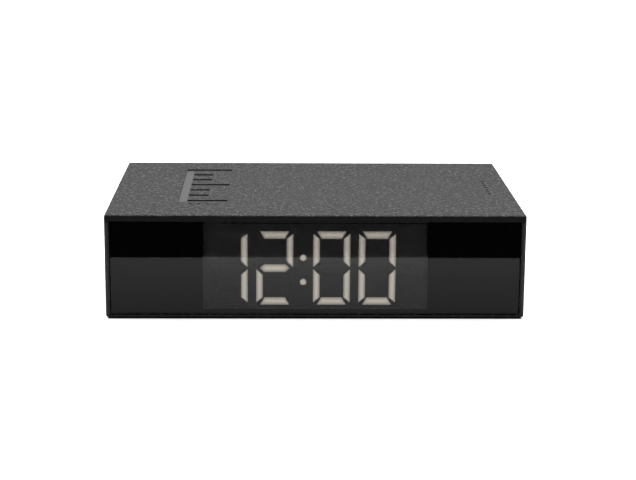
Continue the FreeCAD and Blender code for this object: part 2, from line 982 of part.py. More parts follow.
def usb_tongue():
    x = station(usb_station)
    half = tongue_width / 2
    return box(
        x - half, x + half, board_back + 1.0, panel_back - usb_recess - tongue_setback,
        control_height - tongue_thickness / 2, control_height + tongue_thickness / 2,
    )


def rear_panel():
    half = panel_height / 2
    panel = slab_with_round_corners(
        -panel_half_width, panel_half_width, panel_front, panel_back,
        control_height - half, control_height + half, panel_corner - panel_gap,
    )
    y0 = panel_front - 1
    y1 = panel_back + 1
    holes = []
    for x in button_stations().values():
        half_w = button_width / 2 + button_gap
        half_h = button_height / 2 + button_gap
        holes.append(
            slab_with_round_corners(
                x - half_w, x + half_w, y0, y1, control_height - half_h, control_height + half_h,
                0.98 * min(half_w, half_h),
            )
        )
    slot = (knob_length + knob_travel) / 2 + knob_gap
    slot_high = knob_height / 2 + knob_gap
    x = station(switch_station)
    holes.append(box(x - slot, x + slot, y0, y1, control_height - slot_high, control_height + slot_high))
    x = station(usb_station)
    holes.append(stadium(x, usb_width / 2 + usb_gap, usb_height / 2 + usb_gap, y0, y1))
    x = station(buzzer_station)
    holes.append(rearward(sound_hole_radius, x, control_height, y0, y1))
    for i in range(sound_ring_holes):
        turn = math.radians(360 * i / sound_ring_holes)
        hole_x = x + sound_ring_radius * math.cos(turn)
        hole_z = control_height + sound_ring_radius * math.sin(turn)
        holes.append(rearward(sound_hole_radius, hole_x, hole_z, y0, y1))
    return panel.cut(group(holes))


def clock_chip():
    z = control_height + clock_chip_rise
    return packaged_chip(station(clock_chip_station), z, clock_chip_size, clock_chip_legs, board_front, -1)


def clock_crystal():
    start = Vector(station(crystal_station), board_front - crystal_radius, control_height + crystal_rise)
    return rod(crystal_radius, start, crystal_length, Vector(1, 0, 0))


def capacitors():
    """Two upright electrolytic cans on the main board."""
    z = control_height + capacitor_rise
    y = board_front - capacitor_height
    return group([rearward(capacitor_radius, station(n), z, y, board_front) for n in capacitor_stations])


def regulator():
    x = station(regulator_station)
    z = control_height + regulator_rise
    length, height, depth = regulator_size
    top = z + height / 2
    body = box(x - length / 2, x + length / 2, board_front - depth, board_front, z - height / 2, top)
    half = regulator_tab_width / 2
    tab = box(x - half, x + half, board_front - regulator_tab_thickness, board_front, top, top + regulator_tab_reach)
    return joined([body, tab])


def chip_resistors():
    """Two rows of small chips beside the clock chip."""
    length, height, depth = resistor_size
    made = []
    for row in range(2):
        for i in range(2 * resistor_columns):
            x = station(resistor_station) + resistor_pitch * (i % resistor_columns)
            z = control_height + resistor_rise + resistor_group_pitch * (i // resistor_columns) + resistor_row_pitch * row
            y = board_front - depth
            made.append(box(x - length / 2, x + length / 2, y, board_front, z - height / 2, z + height / 2))
    return group(made)


def tap_sensor():
    """The small spring sensor that feels a tap on the case."""
    start = Vector(station(sensor_station), board_front - sensor_radius, control_height + sensor_rise)
    return rod(sensor_radius, start, sensor_length, Vector(1, 0, 0))


def ribbon_socket():
    half = ribbon_width / 2 + socket_rim
    return box(
        ribbon_x - half, ribbon_x + half, board_front - ribbon_socket_depth, board_front,
        control_height + ribbon_rise - ribbon_socket_height / 2,
        control_height + ribbon_rise + ribbon_socket_height / 2,
    )


def battery_socket():
    half = battery_socket_size / 2
    return box(
        battery_socket_x - half, battery_socket_x + half, board_front - battery_socket_size, board_front,
        control_height + battery_socket_rise - half, control_height + battery_socket_rise + half,
    )


def ribbon_cable():
    """A flat cable from the display's socket to the main board's, sagging between them."""
    y0 = display_board_back + ribbon_socket_depth
    y1 = board_front - ribbon_socket_depth
    run = y1 - y0
    low = bay_top + ribbon_clearance - 2.0
    high = control_height + ribbon_rise
    points = [
        Vector(0, y0, control_height),
        Vector(0, y0 + 0.12 * run, control_height),
        Vector(0, y0 + 0.35 * run, low),
        Vector(0, y0 + 0.65 * run, low + 0.4),
        Vector(0, y0 + 0.88 * run, high),
        Vector(0, y1, high),
    ]
    half_w = ribbon_width / 2
    half_t = ribbon_thickness / 2
    corners = [
        Vector(x, y0, control_height + z)
        for x, z in ((-half_w, -half_t), (half_w, -half_t), (half_w, half_t), (-half_w, half_t))
    ]
    section = Part.makePolygon(corners + corners[:1])
    ribbon = bent_path(points).makePipeShell([section], True, False)
    ribbon.translate(Vector(ribbon_x, 0, 0))
    return ribbon


# Batteries

def cell_rows():
    """(y, side of the positive end) of each cell. They lie head to tail."""
    middle = (cell_count - 1) / 2
    return [(bay_y + cell_pitch * (i - middle), 1 if i % 2 == 0 else -1) for i in range(cell_count)]


def battery_cell(y, side):
    """One cell, with its positive nub against the contact at its side."""
    can_length = cell_length - cell_nub_height
    positive = side * contact_inner
    along = Vector(-side, 0, 0)
    nub = rod(cell_nub_radius, Vector(positive, y, cell_axis), cell_nub_height + 0.2, along)
    can_start = Vector(positive - side * cell_nub_height, y, cell_axis)
    can = rod(cell_radius, can_start, can_length, along)
    can = can.makeFillet(0.5, [e for e in can.Edges if len(e.Vertexes) == 1])
    return joined([can, nub])


def contact_plate(side, y0, y1):
    """A spring steel contact against one end wall of the bay."""
    x0, x1 = sorted((side * contact_inner, side * bay_half_length))
    return box(x0, x1, y0, y1, cell_axis - contact_half_width, cell_axis + contact_half_width)


def battery_contacts():
    """A linking contact and a single contact, with a solder tab, at each end of the bay."""
    rows = [y for y, side in cell_rows()]
    made = []
    for inner, side, tab_y in tab_places():
        single = contact_plate(side, tab_y - contact_half_width, tab_y + contact_half_width)
        x0, x1 = sorted((inner, inner + side * contact_thickness))
        tab = box(x0, x1, tab_y - tab_width / 2, tab_y + tab_width / 2, cell_axis, bay_top + tab_rise)
        made.append(joined([single, tab]))
        others = [y for y in rows if abs(y - tab_y) > 0.1]
        made.append(contact_plate(side, min(others) - contact_half_width, max(others) + contact_half_width))
    return group(made)


def battery_springs():
    """A coil spring between each cell's negative end and its contact. Its wire has spring_sides sides."""
    made = []
    for y, side in cell_rows():
        reach = spring_length - 2 * spring_wire
        coil = Part.makeHelix(reach / spring_turns, reach, spring_radius)
        edge = coil.Edges[0]
        start = edge.valueAt(edge.FirstParameter)
        outward = Vector(1, 0, 0)
        across = edge.tangentAt(edge.FirstParameter).cross(outward)
        turns = [math.radians(360 * i / spring_sides) for i in range(spring_sides + 1)]
        corners = [start + (outward * math.cos(t) + across * math.sin(t)) * spring_wire for t in turns]
        spring = Part.Wire(coil.Edges).makePipeShell([Part.makePolygon(corners)], True, True)
        spring.rotate(Vector(0, 0, 0), Vector(0, 1, 0), 90 * side)
        spring.translate(Vector(-side * (contact_inner - spring_wire), y, cell_axis))
        made.append(spring)
    return group(made)


def battery_lead(number, way):
    """A lead from a solder tab to the battery socket: 0 is the positive one, 1 the negative.

    Its way is a list of (share of the way across, sway towards the front, sag).
    """
    inner, side, y = tab_places()[number]
    start = Vector(inner + side * (contact_thickness + lead_radius), y, bay_top + 1.0)
    raised = Vector(start.x, y, bay_top + lead_rise)
    end_x = battery_socket_x + lead_spacing * (0.5 - number)
    end = Vector(end_x, board_front - battery_socket_size, control_height + battery_socket_rise)
    approach = Vector(end_x, end.y - lead_approach, end.z)
    between = [raised + (approach - raised) * share - Vector(0, sway, sag) for share, sway, sag in way]
    return lead([start, raised] + between + [approach, end])


def all_parts():
    """Node name to shape."""
    made = {
        "top_shell": top_shell(),
        "bottom_cover": bottom_cover(),
        "battery_door": battery_door(),
        "front_lens": front_lens(),
        "lens_mask": lens_mask(),
        "rear_panel": rear_panel(),
        "rating_label": rating_label(),
        "housing_screws": housing_screws(),
        "display_case": display_case(),
        "display_film": display_film(),
        "segments_lit": segments(True),
        "segments_dark": segments(False),
        "colon_dots": window_dots(colon_radius, colon_places()),
        "indicator_dots": window_dots(indicator_radius, indicator_places()),
        "display_board": display_board(),
        "display_leds": display_leds(),
        "display_socket": display_socket(),
        "display_driver": display_driver(),
        "display_screws": display_screws(),
        "ribbon_cable": ribbon_cable(),
        "main_board": main_board(),
        "board_screws": board_screws(),
        "clock_chip": clock_chip(),
        "clock_crystal": clock_crystal(),
        "capacitors": capacitors(),
        "regulator": regulator(),
        "chip_resistors": chip_resistors(),
        "tap_sensor": tap_sensor(),
        "ribbon_socket": ribbon_socket(),
        "battery_socket": battery_socket(),
        "tact_switches": tact_switches(),
        "slide_switch_body": slide_switch_body(),
        "slide_switch_knob": slide_switch_knob(),
        "buzzer": buzzer(),
        "usb_shell": usb_shell(),
        "usb_tongue": usb_tongue(),
        "battery_contacts": battery_contacts(),
        "battery_springs": battery_springs(),
        "battery_lead_red": battery_lead(0, [(0.33, 0.0, 0.3), (0.68, 0.0, 2.0)]),
        "battery_lead_black": battery_lead(1, [(0.22, 1.5, -0.5), (0.55, 3.0, 2.5), (0.86, 4.0, 1.0)]),
    }
    made.update(feet())
    for name, x in button_stations().items():
        made["button_" + name] = button_cap(x)
        made["plunger_" + name] = plunger(x)
    for number, (y, side) in enumerate(cell_rows(), 1):
        made["battery_cell_%d" % number] = battery_cell(y, side)
    return made


def main():
    os.makedirs("parts", exist_ok=True)
    for name, shape in all_parts().items():
        if not shape.isValid():
            raise ValueError(name + " is not a valid shape")
        shape.exportStep("parts/" + name + ".step")


main()
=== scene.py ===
"""The looks of a book shaped table alarm clock: finishes for its moulded case, and finer pieces for its
lit digits, buttons, feet, screws, cells, springs and wiring. Lengths are in metres, with mm for short.
+X is to the right of someone facing the display, +Y points to the back and +Z is up."""

import json
import math

import bmesh
import bpy
import numpy as np
from bpy.props import FloatProperty, FloatVectorProperty, IntProperty, PointerProperty
from mathutils import Matrix, Vector


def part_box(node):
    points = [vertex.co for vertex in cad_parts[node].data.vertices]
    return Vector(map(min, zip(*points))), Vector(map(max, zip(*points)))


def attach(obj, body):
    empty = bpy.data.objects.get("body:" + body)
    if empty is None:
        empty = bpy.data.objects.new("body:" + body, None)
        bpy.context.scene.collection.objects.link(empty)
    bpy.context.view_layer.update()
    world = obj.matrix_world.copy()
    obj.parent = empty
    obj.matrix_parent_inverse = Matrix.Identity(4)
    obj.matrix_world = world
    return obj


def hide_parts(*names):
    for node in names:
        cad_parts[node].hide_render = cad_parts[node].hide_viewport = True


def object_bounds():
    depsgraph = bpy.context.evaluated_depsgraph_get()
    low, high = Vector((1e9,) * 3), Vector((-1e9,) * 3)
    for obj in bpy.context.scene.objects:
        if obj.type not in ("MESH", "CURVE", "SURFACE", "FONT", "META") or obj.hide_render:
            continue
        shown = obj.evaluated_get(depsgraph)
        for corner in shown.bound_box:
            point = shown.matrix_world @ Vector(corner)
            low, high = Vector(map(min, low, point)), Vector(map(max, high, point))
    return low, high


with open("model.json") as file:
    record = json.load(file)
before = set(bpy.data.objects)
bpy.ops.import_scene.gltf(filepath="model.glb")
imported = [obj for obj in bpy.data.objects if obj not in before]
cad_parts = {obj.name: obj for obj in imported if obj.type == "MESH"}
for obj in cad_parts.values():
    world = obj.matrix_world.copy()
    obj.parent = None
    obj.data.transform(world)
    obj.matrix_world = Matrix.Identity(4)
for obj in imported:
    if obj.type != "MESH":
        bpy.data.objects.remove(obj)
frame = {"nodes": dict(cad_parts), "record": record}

bl_info = {
    "name": "Table Alarm Clock",
    "version": (1, 0, 0),
    "blender": (4, 5, 0),
    "location": "3D View > Sidebar > Clock",
    "description": "Builds the finishes and fine pieces of a table alarm clock around its packed frame",
    "category": "Object",
}

mm = 0.001
CAD_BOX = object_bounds()
ROOT = "clock"
CELLS = sorted(n for n in frame["nodes"] if n.startswith("battery_cell"))
FEET = sorted(n for n in frame["nodes"] if n.startswith("foot_"))
BUTTONS = sorted(n for n in frame["nodes"] if n.startswith("button_"))


def corners(node):
    """The lowest and highest corner of a node, as arrays."""
    low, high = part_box(node)
    return np.array(low, float), np.array(high, float)


def middle(node):
    """The middle of a node's box."""
    low, high = corners(node)
    return (low + high) / 2


def length(name, text, default):
    """A size in metres that the sidebar shows."""
    return FloatProperty(name=name, description=text, default=default, min=0.0, unit="LENGTH", precision=5)


def colour(name, text, default):
    """A colour that the sidebar shows."""
    return FloatVectorProperty(
        name=name, description=text, default=default, subtype="COLOR", min=0.0, max=1.0,
    )


def angle(name, text, degrees):
    """A turn that the sidebar shows in degrees."""
    return FloatProperty(name=name, description=text, default=math.radians(degrees), subtype="ANGLE")


def factor(name, text, default, top=1.0):
    """A plain number from nought to top that the sidebar shows."""
    return FloatProperty(name=name, description=text, default=default, min=0.0, max=top)


# Sizes and colours that a user would change

class CaseFinish(bpy.types.PropertyGroup):
    shade: colour("Case", "Colour of the moulded case", (0.024, 0.024, 0.0245))
    # The flecks are partly grain tone and partly painted glints on the grain's crowns.
    fleck: colour("Fleck", "Colour of the lighter flecks on the grain's crowns", (0.12, 0.12, 0.121))
    grain: length("Grain", "Width of one grain of the spark eroded surface", 0.95 * mm)
    grain_depth: length("Grain depth", "Height of the grain", 0.42 * mm)
    roughness: factor("Roughness", "Roughness of the grained case", 0.5)
    # Painted highlight: a paler colour on the front ends of the side walls and along the foot, where rounded
    # edges would catch the side light.
    jamb_highlight_colour: colour("Jambs", "Colour of the smooth front ends of the side walls", (0.14, 0.126, 0.122))
    # Painted reflection: the smooth floors of the sunk marks are painted light grey for the sheen they show.
    sunk_floor_reflection_colour: colour("Sunk marks", "Colour of the smooth floors of the sunk marks", (0.13, 0.13, 0.13))
    mark_depth: length("Mark depth", "How far the marks are sunk in the top", 0.5 * mm)


class DisplaySizes(bpy.types.PropertyGroup):
    digit_foot: length("Digit foot", "From the display's bottom to the digits", 1.35 * mm)
    digit_height: length("Digit height", "Height of one digit", 26.1 * mm)
    digit_width: length("Digit width", "Width of one digit", 12.8 * mm)
    digit_space: length("Digit space", "Between two digits", 2.9 * mm)
    colon_space: length("Colon space", "What the colon adds between the middle digits", 3.9 * mm)
    left_margin: length("Left margin", "From the display's left side to the first digit", 2.25 * mm)
    bar: length("Bar", "Thickness of the level bars", 2.7 * mm)
    post: length("Post", "Thickness of the upright bars", 2.3 * mm)
    bar_inset: length("Bar inset", "From a digit's side to the tip of a level bar", 1.35 * mm)
    bar_slant: length("Bar slant", "How far a level bar's end slants", 1.5 * mm)
    tip_drop: length("Tip drop", "From a digit's top to the tip of an upright bar", 0.8 * mm)
    end_slant: length("End slant", "How far an upright bar's outer end slants", 1.8 * mm)
    middle_gap: length("Middle gap", "From the digit's middle to an upright bar", 0.3 * mm)
    middle_slant: length("Middle slant", "How far an upright bar's inner end slants", 2.1 * mm)
    crown: length("Crown", "How far a bar's face is crowned", 0.12 * mm)
    glow: colour("Glow", "Colour of the lit bars", (1.0, 0.93, 0.79))
    glow_strength: factor("Glow strength", "Brightness of the lit bars", 2.45, 20.0)


class HardwareSizes(bpy.types.PropertyGroup):
    housing_screw: length("Housing screw", "Radius of a housing screw's thread", 1.5 * mm)
    housing_head: length("Housing screw head", "Radius of a housing screw's head", 2.75 * mm)
    housing_head_height: length("Head height", "Height of a housing screw's head", 1.8 * mm)
    small_screw: length("Small screw", "Radius of a board screw's thread", 1.0 * mm)
    small_head: length("Small screw head", "Radius of a board screw's head", 1.9 * mm)
    small_head_height: length("Small head height", "Height of a board screw's head", 1.2 * mm)
    thread_depth: length("Thread depth", "Depth of the cut thread", 0.16 * mm)
    spring_wire: length("Spring wire", "Radius of the wire of a battery spring", 0.3 * mm)
    spring_turns: factor("Spring turns", "Turns of a battery spring", 4.5, 20.0)
    foot_rings: IntProperty(name="Foot rings", description="Raised rings under a foot", default=3, min=1)
    contact_pads: IntProperty(name="Contact pads", description="Pads on each side of the inlet", default=12)


class StageSettings(bpy.types.PropertyGroup):
    lens: FloatProperty(name="Lens", description="Focal length in millimetres", default=93.96, min=10.0)
    seat: FloatVectorProperty(
        name="Camera", description="Where the camera stands", unit="LENGTH",
        default=(-11.6 * mm, -598.3 * mm, 159.1 * mm),
    )
    turn: angle("Turn", "Camera turned to the right", 1.287)
    dip: angle("Dip", "Camera tipped down", 13.392)
    roll: angle("Roll", "Camera rolled", 0.409)
    apron: length("Apron", "How much pale table lies before the clock in its reflections", 86.6 * mm)
    overhead: factor("Overhead", "Power of the overhead light in watts", 21.5, 500.0)
    left_share: factor("Left share", "Power of the left light, as a share of the overhead one", 0.22)
    right_share: factor("Right share", "Power of the right light, as a share of the overhead one", 0.2)
    rim: factor("Back sky", "Brightness of the studio behind the clock", 0.36, 10.0)
    bounce: factor("Bounce", "Brightness of the pale table in the clock's reflections", 0.82, 10.0)


# Surfaces

def sheet(points, wrap=False, core=None):
    """One surface: an array of points (along, across, 3), closed along its first way if wrap is set.

    core is a value from 0 at a rim to 1 at a crown, for each point.
    """
    points = np.asarray(points, float)
    if core is None:
        core = np.zeros(points.shape[:2])
    return points, wrap, np.broadcast_to(core, points.shape[:2])


def sheet_quads(rows, columns, wrap, first):
    """Corner numbers of the quads between neighbouring points of a grid."""
    last = rows if wrap else rows - 1
    i, j = np.meshgrid(np.arange(last), np.arange(columns - 1), indexing="ij")
    k = (i + 1) % rows
    quads = np.stack([i * columns + j, k * columns + j, k * columns + j + 1, i * columns + j + 1], -1)
    return first + quads.reshape(-1, 4)


def make_piece(name, sheets, body, slot, replaced=(), crease=35.0, finish=None):
    """One object from sheets, with its doubles merged and its faces turned outwards.

    It has its slot's own finish, unless the name of another finish is given.
    """
    points = np.concatenate([s[0].reshape(-1, 3) for s in sheets])
    core = np.concatenate([s[2].reshape(-1) for s in sheets])
    quads = []
    first = 0
    for grid, wrap, _ in sheets:
        quads.append(sheet_quads(grid.shape[0], grid.shape[1], wrap, first))
        first += grid.shape[0] * grid.shape[1]
    quads = np.concatenate(quads)
    mesh = bpy.data.meshes.new(name)
    mesh.vertices.add(len(points))
    mesh.vertices.foreach_set("co", points.ravel())
    mesh.loops.add(quads.size)
    mesh.loops.foreach_set("vertex_index", quads.ravel().astype(np.int32))
    mesh.polygons.add(len(quads))
    mesh.polygons.foreach_set("loop_start", np.arange(0, quads.size, 4, dtype=np.int32))
    mesh.update(calc_edges=True)
    mesh.attributes.new("core", "FLOAT", "POINT").data.foreach_set("value", core)
    work = bmesh.new()
    work.from_mesh(mesh)
    bmesh.ops.remove_doubles(work, verts=work.verts, dist=0.002 * mm)
    bmesh.ops.dissolve_degenerate(work, edges=work.edges, dist=0.001 * mm)
    bmesh.ops.recalc_face_normals(work, faces=work.faces)
    work.to_mesh(mesh)
    work.free()
    mesh.validate()
    mesh.shade_smooth()
    mesh.set_sharp_from_angle(angle=math.radians(crease))
    mesh.materials.append(finish_for(finish or slot))
    piece = bpy.data.objects.new(name, mesh)
    bpy.context.scene.collection.objects.link(piece)
    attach(piece, body)
    if replaced:
        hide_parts(*replaced)
    return piece


def axes_about(axis):
    """Two unit directions square to an axis and to each other, in right hand order."""
    axis = np.asarray(axis, float) / np.linalg.norm(axis)
    helper = np.array([0.0, 0.0, 1.0]) if abs(axis[2]) < 0.9 else np.array([1.0, 0.0, 0.0])
    first = np.cross(helper, axis)
    first /= np.linalg.norm(first)
    return first, np.cross(axis, first), axis


def turned(centre, axis, profile, steps=64):
    """Radii and heights turned about an axis: centre + radius (cos t u + sin t v) + height axis."""
    u, v, w = axes_about(axis)
    profile = np.asarray(profile, float)
    t = np.linspace(0, 2 * np.pi, steps, endpoint=False)[:, None, None]
    r = profile[None, :, 0, None]
    h = profile[None, :, 1, None]
    return sheet(np.asarray(centre) + r * (np.cos(t) * u + np.sin(t) * v) + h * w, wrap=True)


def eased_corner(a, b, c, radius, steps):
    """The corner b of a path from a to c, as a quadratic curve between two points set back by radius."""
    near = b + (a - b) * min(radius / max(np.linalg.norm(a - b), 1e-9), 0.45)
    far = b + (c - b) * min(radius / max(np.linalg.norm(c - b), 1e-9), 0.45)
    t = np.linspace(0, 1, steps)[:, None]
    return (1 - t) ** 2 * near + 2 * t * (1 - t) * b + t ** 2 * far


def rounded_profile(stations, radius, steps=5):
    """An open profile with its inner corners eased."""
    p = np.asarray(stations, float)
    turns = [eased_corner(a, b, c, radius, steps) for a, b, c in zip(p, p[1:], p[2:])]
    return np.concatenate([p[:1], *turns, p[-1:]])


def obround(centre, half_w, half_h, profile, steps=72):
    """Rings round an upright obround: each has its own inset and Y, and a full inset ends on the spine.

    A point at angle t lies at the near end of the spine plus (half_h - inset) (cos t, sin t).
    """
    profile = np.asarray(profile, float)
    t = np.linspace(0, 2 * np.pi, steps, endpoint=False)[:, None]
    spine = (half_w - half_h) * np.clip(np.cos(t) * 6, -1, 1)
    r = np.maximum(half_h - profile[None, :, 0], 0)
    x = centre[0] + spine + r * np.cos(t)
    z = centre[2] + r * np.sin(t)
    y = np.broadcast_to(profile[None, :, 1], x.shape)
    return sheet(np.stack([x, y, z], -1), wrap=True)


def tube(path, radius, steps=12):
    """A round tube: path + radius (cos t n + sin t b), where n and b turn with the path and don't twist."""
    path = np.asarray(path, float)
    way = np.gradient(path, axis=0)
    way /= np.linalg.norm(way, axis=1)[:, None]
    normal = axes_about(way[0])[0]
    normals = []
    for d in way:
        normal = normal - d * normal.dot(d)
        normal /= np.linalg.norm(normal)
        normals.append(normal)
    n = np.array(normals)
    b = np.cross(way, n)
    t = np.linspace(0, 2 * np.pi, steps, endpoint=False)[:, None, None]
    radius = np.broadcast_to(radius, len(path))[None, :, None]
    skin = path[None] + radius * (np.cos(t) * n[None] + np.sin(t) * b[None])
    start = np.broadcast_to(path[0], (steps, 1, 3))
    end = np.broadcast_to(path[-1], (steps, 1, 3))
    return sheet(np.concatenate([start, skin, end], 1), wrap=True)


def slab(low, high, edge=0.0):
    """A block with chamfered edges: a square ring carried from low Z to high Z, closed at both ends."""
    low = np.asarray(low, float)
    high = np.asarray(high, float)
    c = (low + high) / 2
    h = (high - low) / 2
    signs = np.array([[-1, -1], [1, -1], [1, 1], [-1, 1]], float)
    e = min(edge, h.min() * 0.9)
    reach = [(0, -h[2]), (1, -h[2]), (2, -h[2] + e), (2, h[2] - e), (1, h[2]), (0, h[2])]
    rings = []
    for kind, z in reach:
        ring = c + np.zeros((8, 3))
        ring[:, 2] += z
        if kind:
            inset = e if kind == 1 else 0.0
            hx = h[0] - inset
            hy = h[1] - inset
            for n, (sx, sy) in enumerate(signs):
                first = (sx * (hx - e), sy * hy) if sx * sy > 0 else (sx * hx, sy * (hy - e))
                second = (sx * hx, sy * (hy - e)) if sx * sy > 0 else (sx * (hx - e), sy * hy)
                ring[2 * n, :2] = c[:2] + second
                ring[2 * n + 1, :2] = c[:2] + first
        rings.append(ring)
    return sheet(np.stack(rings, 1), wrap=True)


# Nodes

def add(tree, kind, inputs=None, **settings):
    """A node with its settings. An input is a value, or an output of another node to link."""
    node = tree.nodes.new(kind)
    for key, value in settings.items():
        setattr(node, key, value)
    for key, value in (inputs or {}).items():
        if isinstance(value, bpy.types.NodeSocket):
            tree.links.new(value, node.inputs[key])
        else:
            node.inputs[key].default_value = value
    return node


def effect(name, ins, outs):
    """A shader node group of plain numbers. Gives its tree, its inputs and its end node."""
    tree = bpy.data.node_groups.new(name, "ShaderNodeTree")
    kind = "NodeSocketFloat"
    for label, value in ins.items():
        tree.interface.new_socket(name=label, in_out="INPUT", socket_type=kind).default_value = value
    for label in outs:
        tree.interface.new_socket(name=label, in_out="OUTPUT", socket_type=kind)
    return tree, add(tree, "NodeGroupInput"), add(tree, "NodeGroupOutput")


def blend_colour(tree, amount, first, second):
    """The colour between two, by amount."""
    return add(tree, "ShaderNodeMix", {0: amount, 6: first, 7: second}, data_type="RGBA").outputs[2]


def remap(tree, value, low, high, new_low=0.0, new_high=1.0, smooth=False):
    """The value carried from one range to another and kept inside it."""
    kind = "SMOOTHSTEP" if smooth else "LINEAR"
    node = add(tree, "ShaderNodeMapRange", {0: value, 1: low, 2: high, 3: new_low, 4: new_high},
               interpolation_type=kind)
    return node.outputs[0]


def maths(tree, operation, first, second=0.0):
    return add(tree, "ShaderNodeMath", {0: first, 1: second}, operation=operation).outputs[0]


def between(tree, value, low, full, fade, high):
    """One from full to fade, falling to nothing at low and at high."""
    return maths(tree, "MULTIPLY", remap(tree, value, low, full), remap(tree, value, fade, high, 1.0, 0.0))


def grain_effect():
    """Spark eroded or moulded grain: lumps of a given size, with finer lumps on them, as height and fleck."""
    tree, given, end = effect("Moulded grain", {"Size": 0.6 * mm, "Fine": 0.45}, ["Height", "Fleck"])
    place = add(tree, "ShaderNodeTexCoord").outputs["Object"]
    scale = maths(tree, "DIVIDE", 1.0, given.outputs["Size"])
    warp = add(tree, "ShaderNodeTexNoise", {"Vector": place, "Scale": scale, "Detail": 1.0})
    moved = add(tree, "ShaderNodeVectorMath", {0: warp.outputs["Color"], 3: 0.0004}, operation="SCALE")
    bent = add(tree, "ShaderNodeVectorMath", {0: place, 1: moved.outputs[0]}, operation="ADD").outputs[0]
    lumps = add(tree, "ShaderNodeTexVoronoi", {"Vector": bent, "Scale": scale, "Smoothness": 0.35},
                feature="SMOOTH_F1")
    finer = maths(tree, "MULTIPLY", scale, 2.3)
    fine = add(tree, "ShaderNodeTexNoise", {"Vector": place, "Scale": finer, "Detail": 3.0, "Roughness": 0.6})
    crown = remap(tree, lumps.outputs["Distance"], 0.1, 0.7, 1.0, 0.0)
    mixed = add(tree, "ShaderNodeMix", {0: given.outputs["Fine"], 2: crown, 3: fine.outputs["Fac"]})
    tree.links.new(mixed.outputs[0], end.inputs["Height"])
    clumps = add(tree, "ShaderNodeTexNoise", {"Vector": place, "Scale": maths(tree, "MULTIPLY", scale, 0.6)})
    clumped = maths(tree, "ADD", remap(tree, clumps.outputs["Fac"], 0.3, 0.7, -0.5, 0.42), crown)
    broken = remap(tree, fine.outputs["Fac"], 0.35, 0.6, 0.4, 1.0)
    fleck = maths(tree, "MULTIPLY", remap(tree, clumped, 0.4, 0.85), broken)
    tree.links.new(fleck, end.inputs["Fleck"])
    return tree


def handling_effect():
    """Large soft patches, as handling leaves on a surface, and specks of dust that lie on what faces up."""
    tree, given, end = effect("Handling", {"Patch": 30.0 * mm, "Dust": 0.2}, ["Patches", "Dust"])
    place = add(tree, "ShaderNodeTexCoord").outputs["Object"]
    scale = maths(tree, "DIVIDE", 1.0, given.outputs["Patch"])
    patches = add(tree, "ShaderNodeTexNoise",
                  {"Vector": place, "Scale": scale, "Detail": 4.0, "Roughness": 0.55})
    tree.links.new(remap(tree, patches.outputs["Fac"], 0.3, 0.7), end.inputs["Patches"])
    specks = add(tree, "ShaderNodeTexVoronoi", {"Vector": place, "Scale": 420.0}, feature="F1")
    few = add(tree, "ShaderNodeTexNoise", {"Vector": place, "Scale": 60.0, "Detail": 2.0})
    speck = maths(tree, "MULTIPLY", remap(tree, specks.outputs["Distance"], 0.04, 0.1, 1.0, 0.0),
                  remap(tree, few.outputs["Fac"], 0.55, 0.7))
    facing = add(tree, "ShaderNodeSeparateXYZ", {0: add(tree, "ShaderNodeNewGeometry").outputs["Normal"]})
    up = remap(tree, facing.outputs["Z"], 0.4, 0.95)
    dust = maths(tree, "MULTIPLY", maths(tree, "MULTIPLY", speck, up), given.outputs["Dust"])
    tree.links.new(dust, end.inputs["Dust"])
    return tree


def scratch_effect():
    """Fine lines that run along X, as rolling and drawing leave in metal, as a mask and a height."""
    tree, given, end = effect("Drawn lines", {"Fineness": 9000.0}, ["Lines"])
    place = add(tree, "ShaderNodeTexCoord").outputs["Object"]
    long = add(tree, "ShaderNodeMapping", {"Vector": place, "Scale": (0.04, 1.0, 1.0)})
    lines = add(tree, "ShaderNodeTexNoise", {"Vector": long.outputs[0], "Scale": given.outputs["Fineness"],
                                             "Detail": 2.0})
    tree.links.new(remap(tree, lines.outputs["Fac"], 0.35, 0.65), end.inputs["Lines"])
    return tree


EFFECTS = {}


def use_effect(tree, name, **values):
    """A shared effect placed in a material with its own values."""
    makers = {"Moulded grain": grain_effect, "Handling": handling_effect, "Drawn lines": scratch_effect}
    if name not in EFFECTS:
        EFFECTS[name] = makers[name]()
    node = add(tree, "ShaderNodeGroup", node_tree=EFFECTS[name])
    for key, value in values.items():
        node.inputs[key].default_value = value
    return node.outputs


def new_finish(name, **constants):
    """An empty material with a Principled shader, its constants set on its own sockets."""
    finish = bpy.data.materials.new(name)
    finish.use_nodes = True
    tree = finish.node_tree
    tree.nodes.clear()
    shader = add(tree, "ShaderNodeBsdfPrincipled", {k.replace("_", " "): v for k, v in constants.items()})
    end = add(tree, "ShaderNodeOutputMaterial")
    tree.links.new(shader.outputs[0], end.inputs[0])
    return finish, tree, shader


def feed(tree, shader, label, value):
    """Links a value that changes over the surface to one of the shader's inputs."""
    tree.links.new(value, shader.inputs[label])


def bump(tree, shader, height, depth):
    """Feeds the shader a relief: a height of 0 to 1 raised by depth metres."""
    node = add(tree, "ShaderNodeBump", {"Height": height, "Distance": depth, "Strength": 1.0})
    feed(tree, shader, "Normal", node.outputs[0])


def opaque(shade):
    """A colour with full alpha, as a colour input wants it."""
    return (*shade, 1.0)


def position(tree):
    """Object coordinates as separate X, Y and Z."""
    place = add(tree, "ShaderNodeTexCoord").outputs["Object"]
    return add(tree, "ShaderNodeSeparateXYZ", {0: place}).outputs


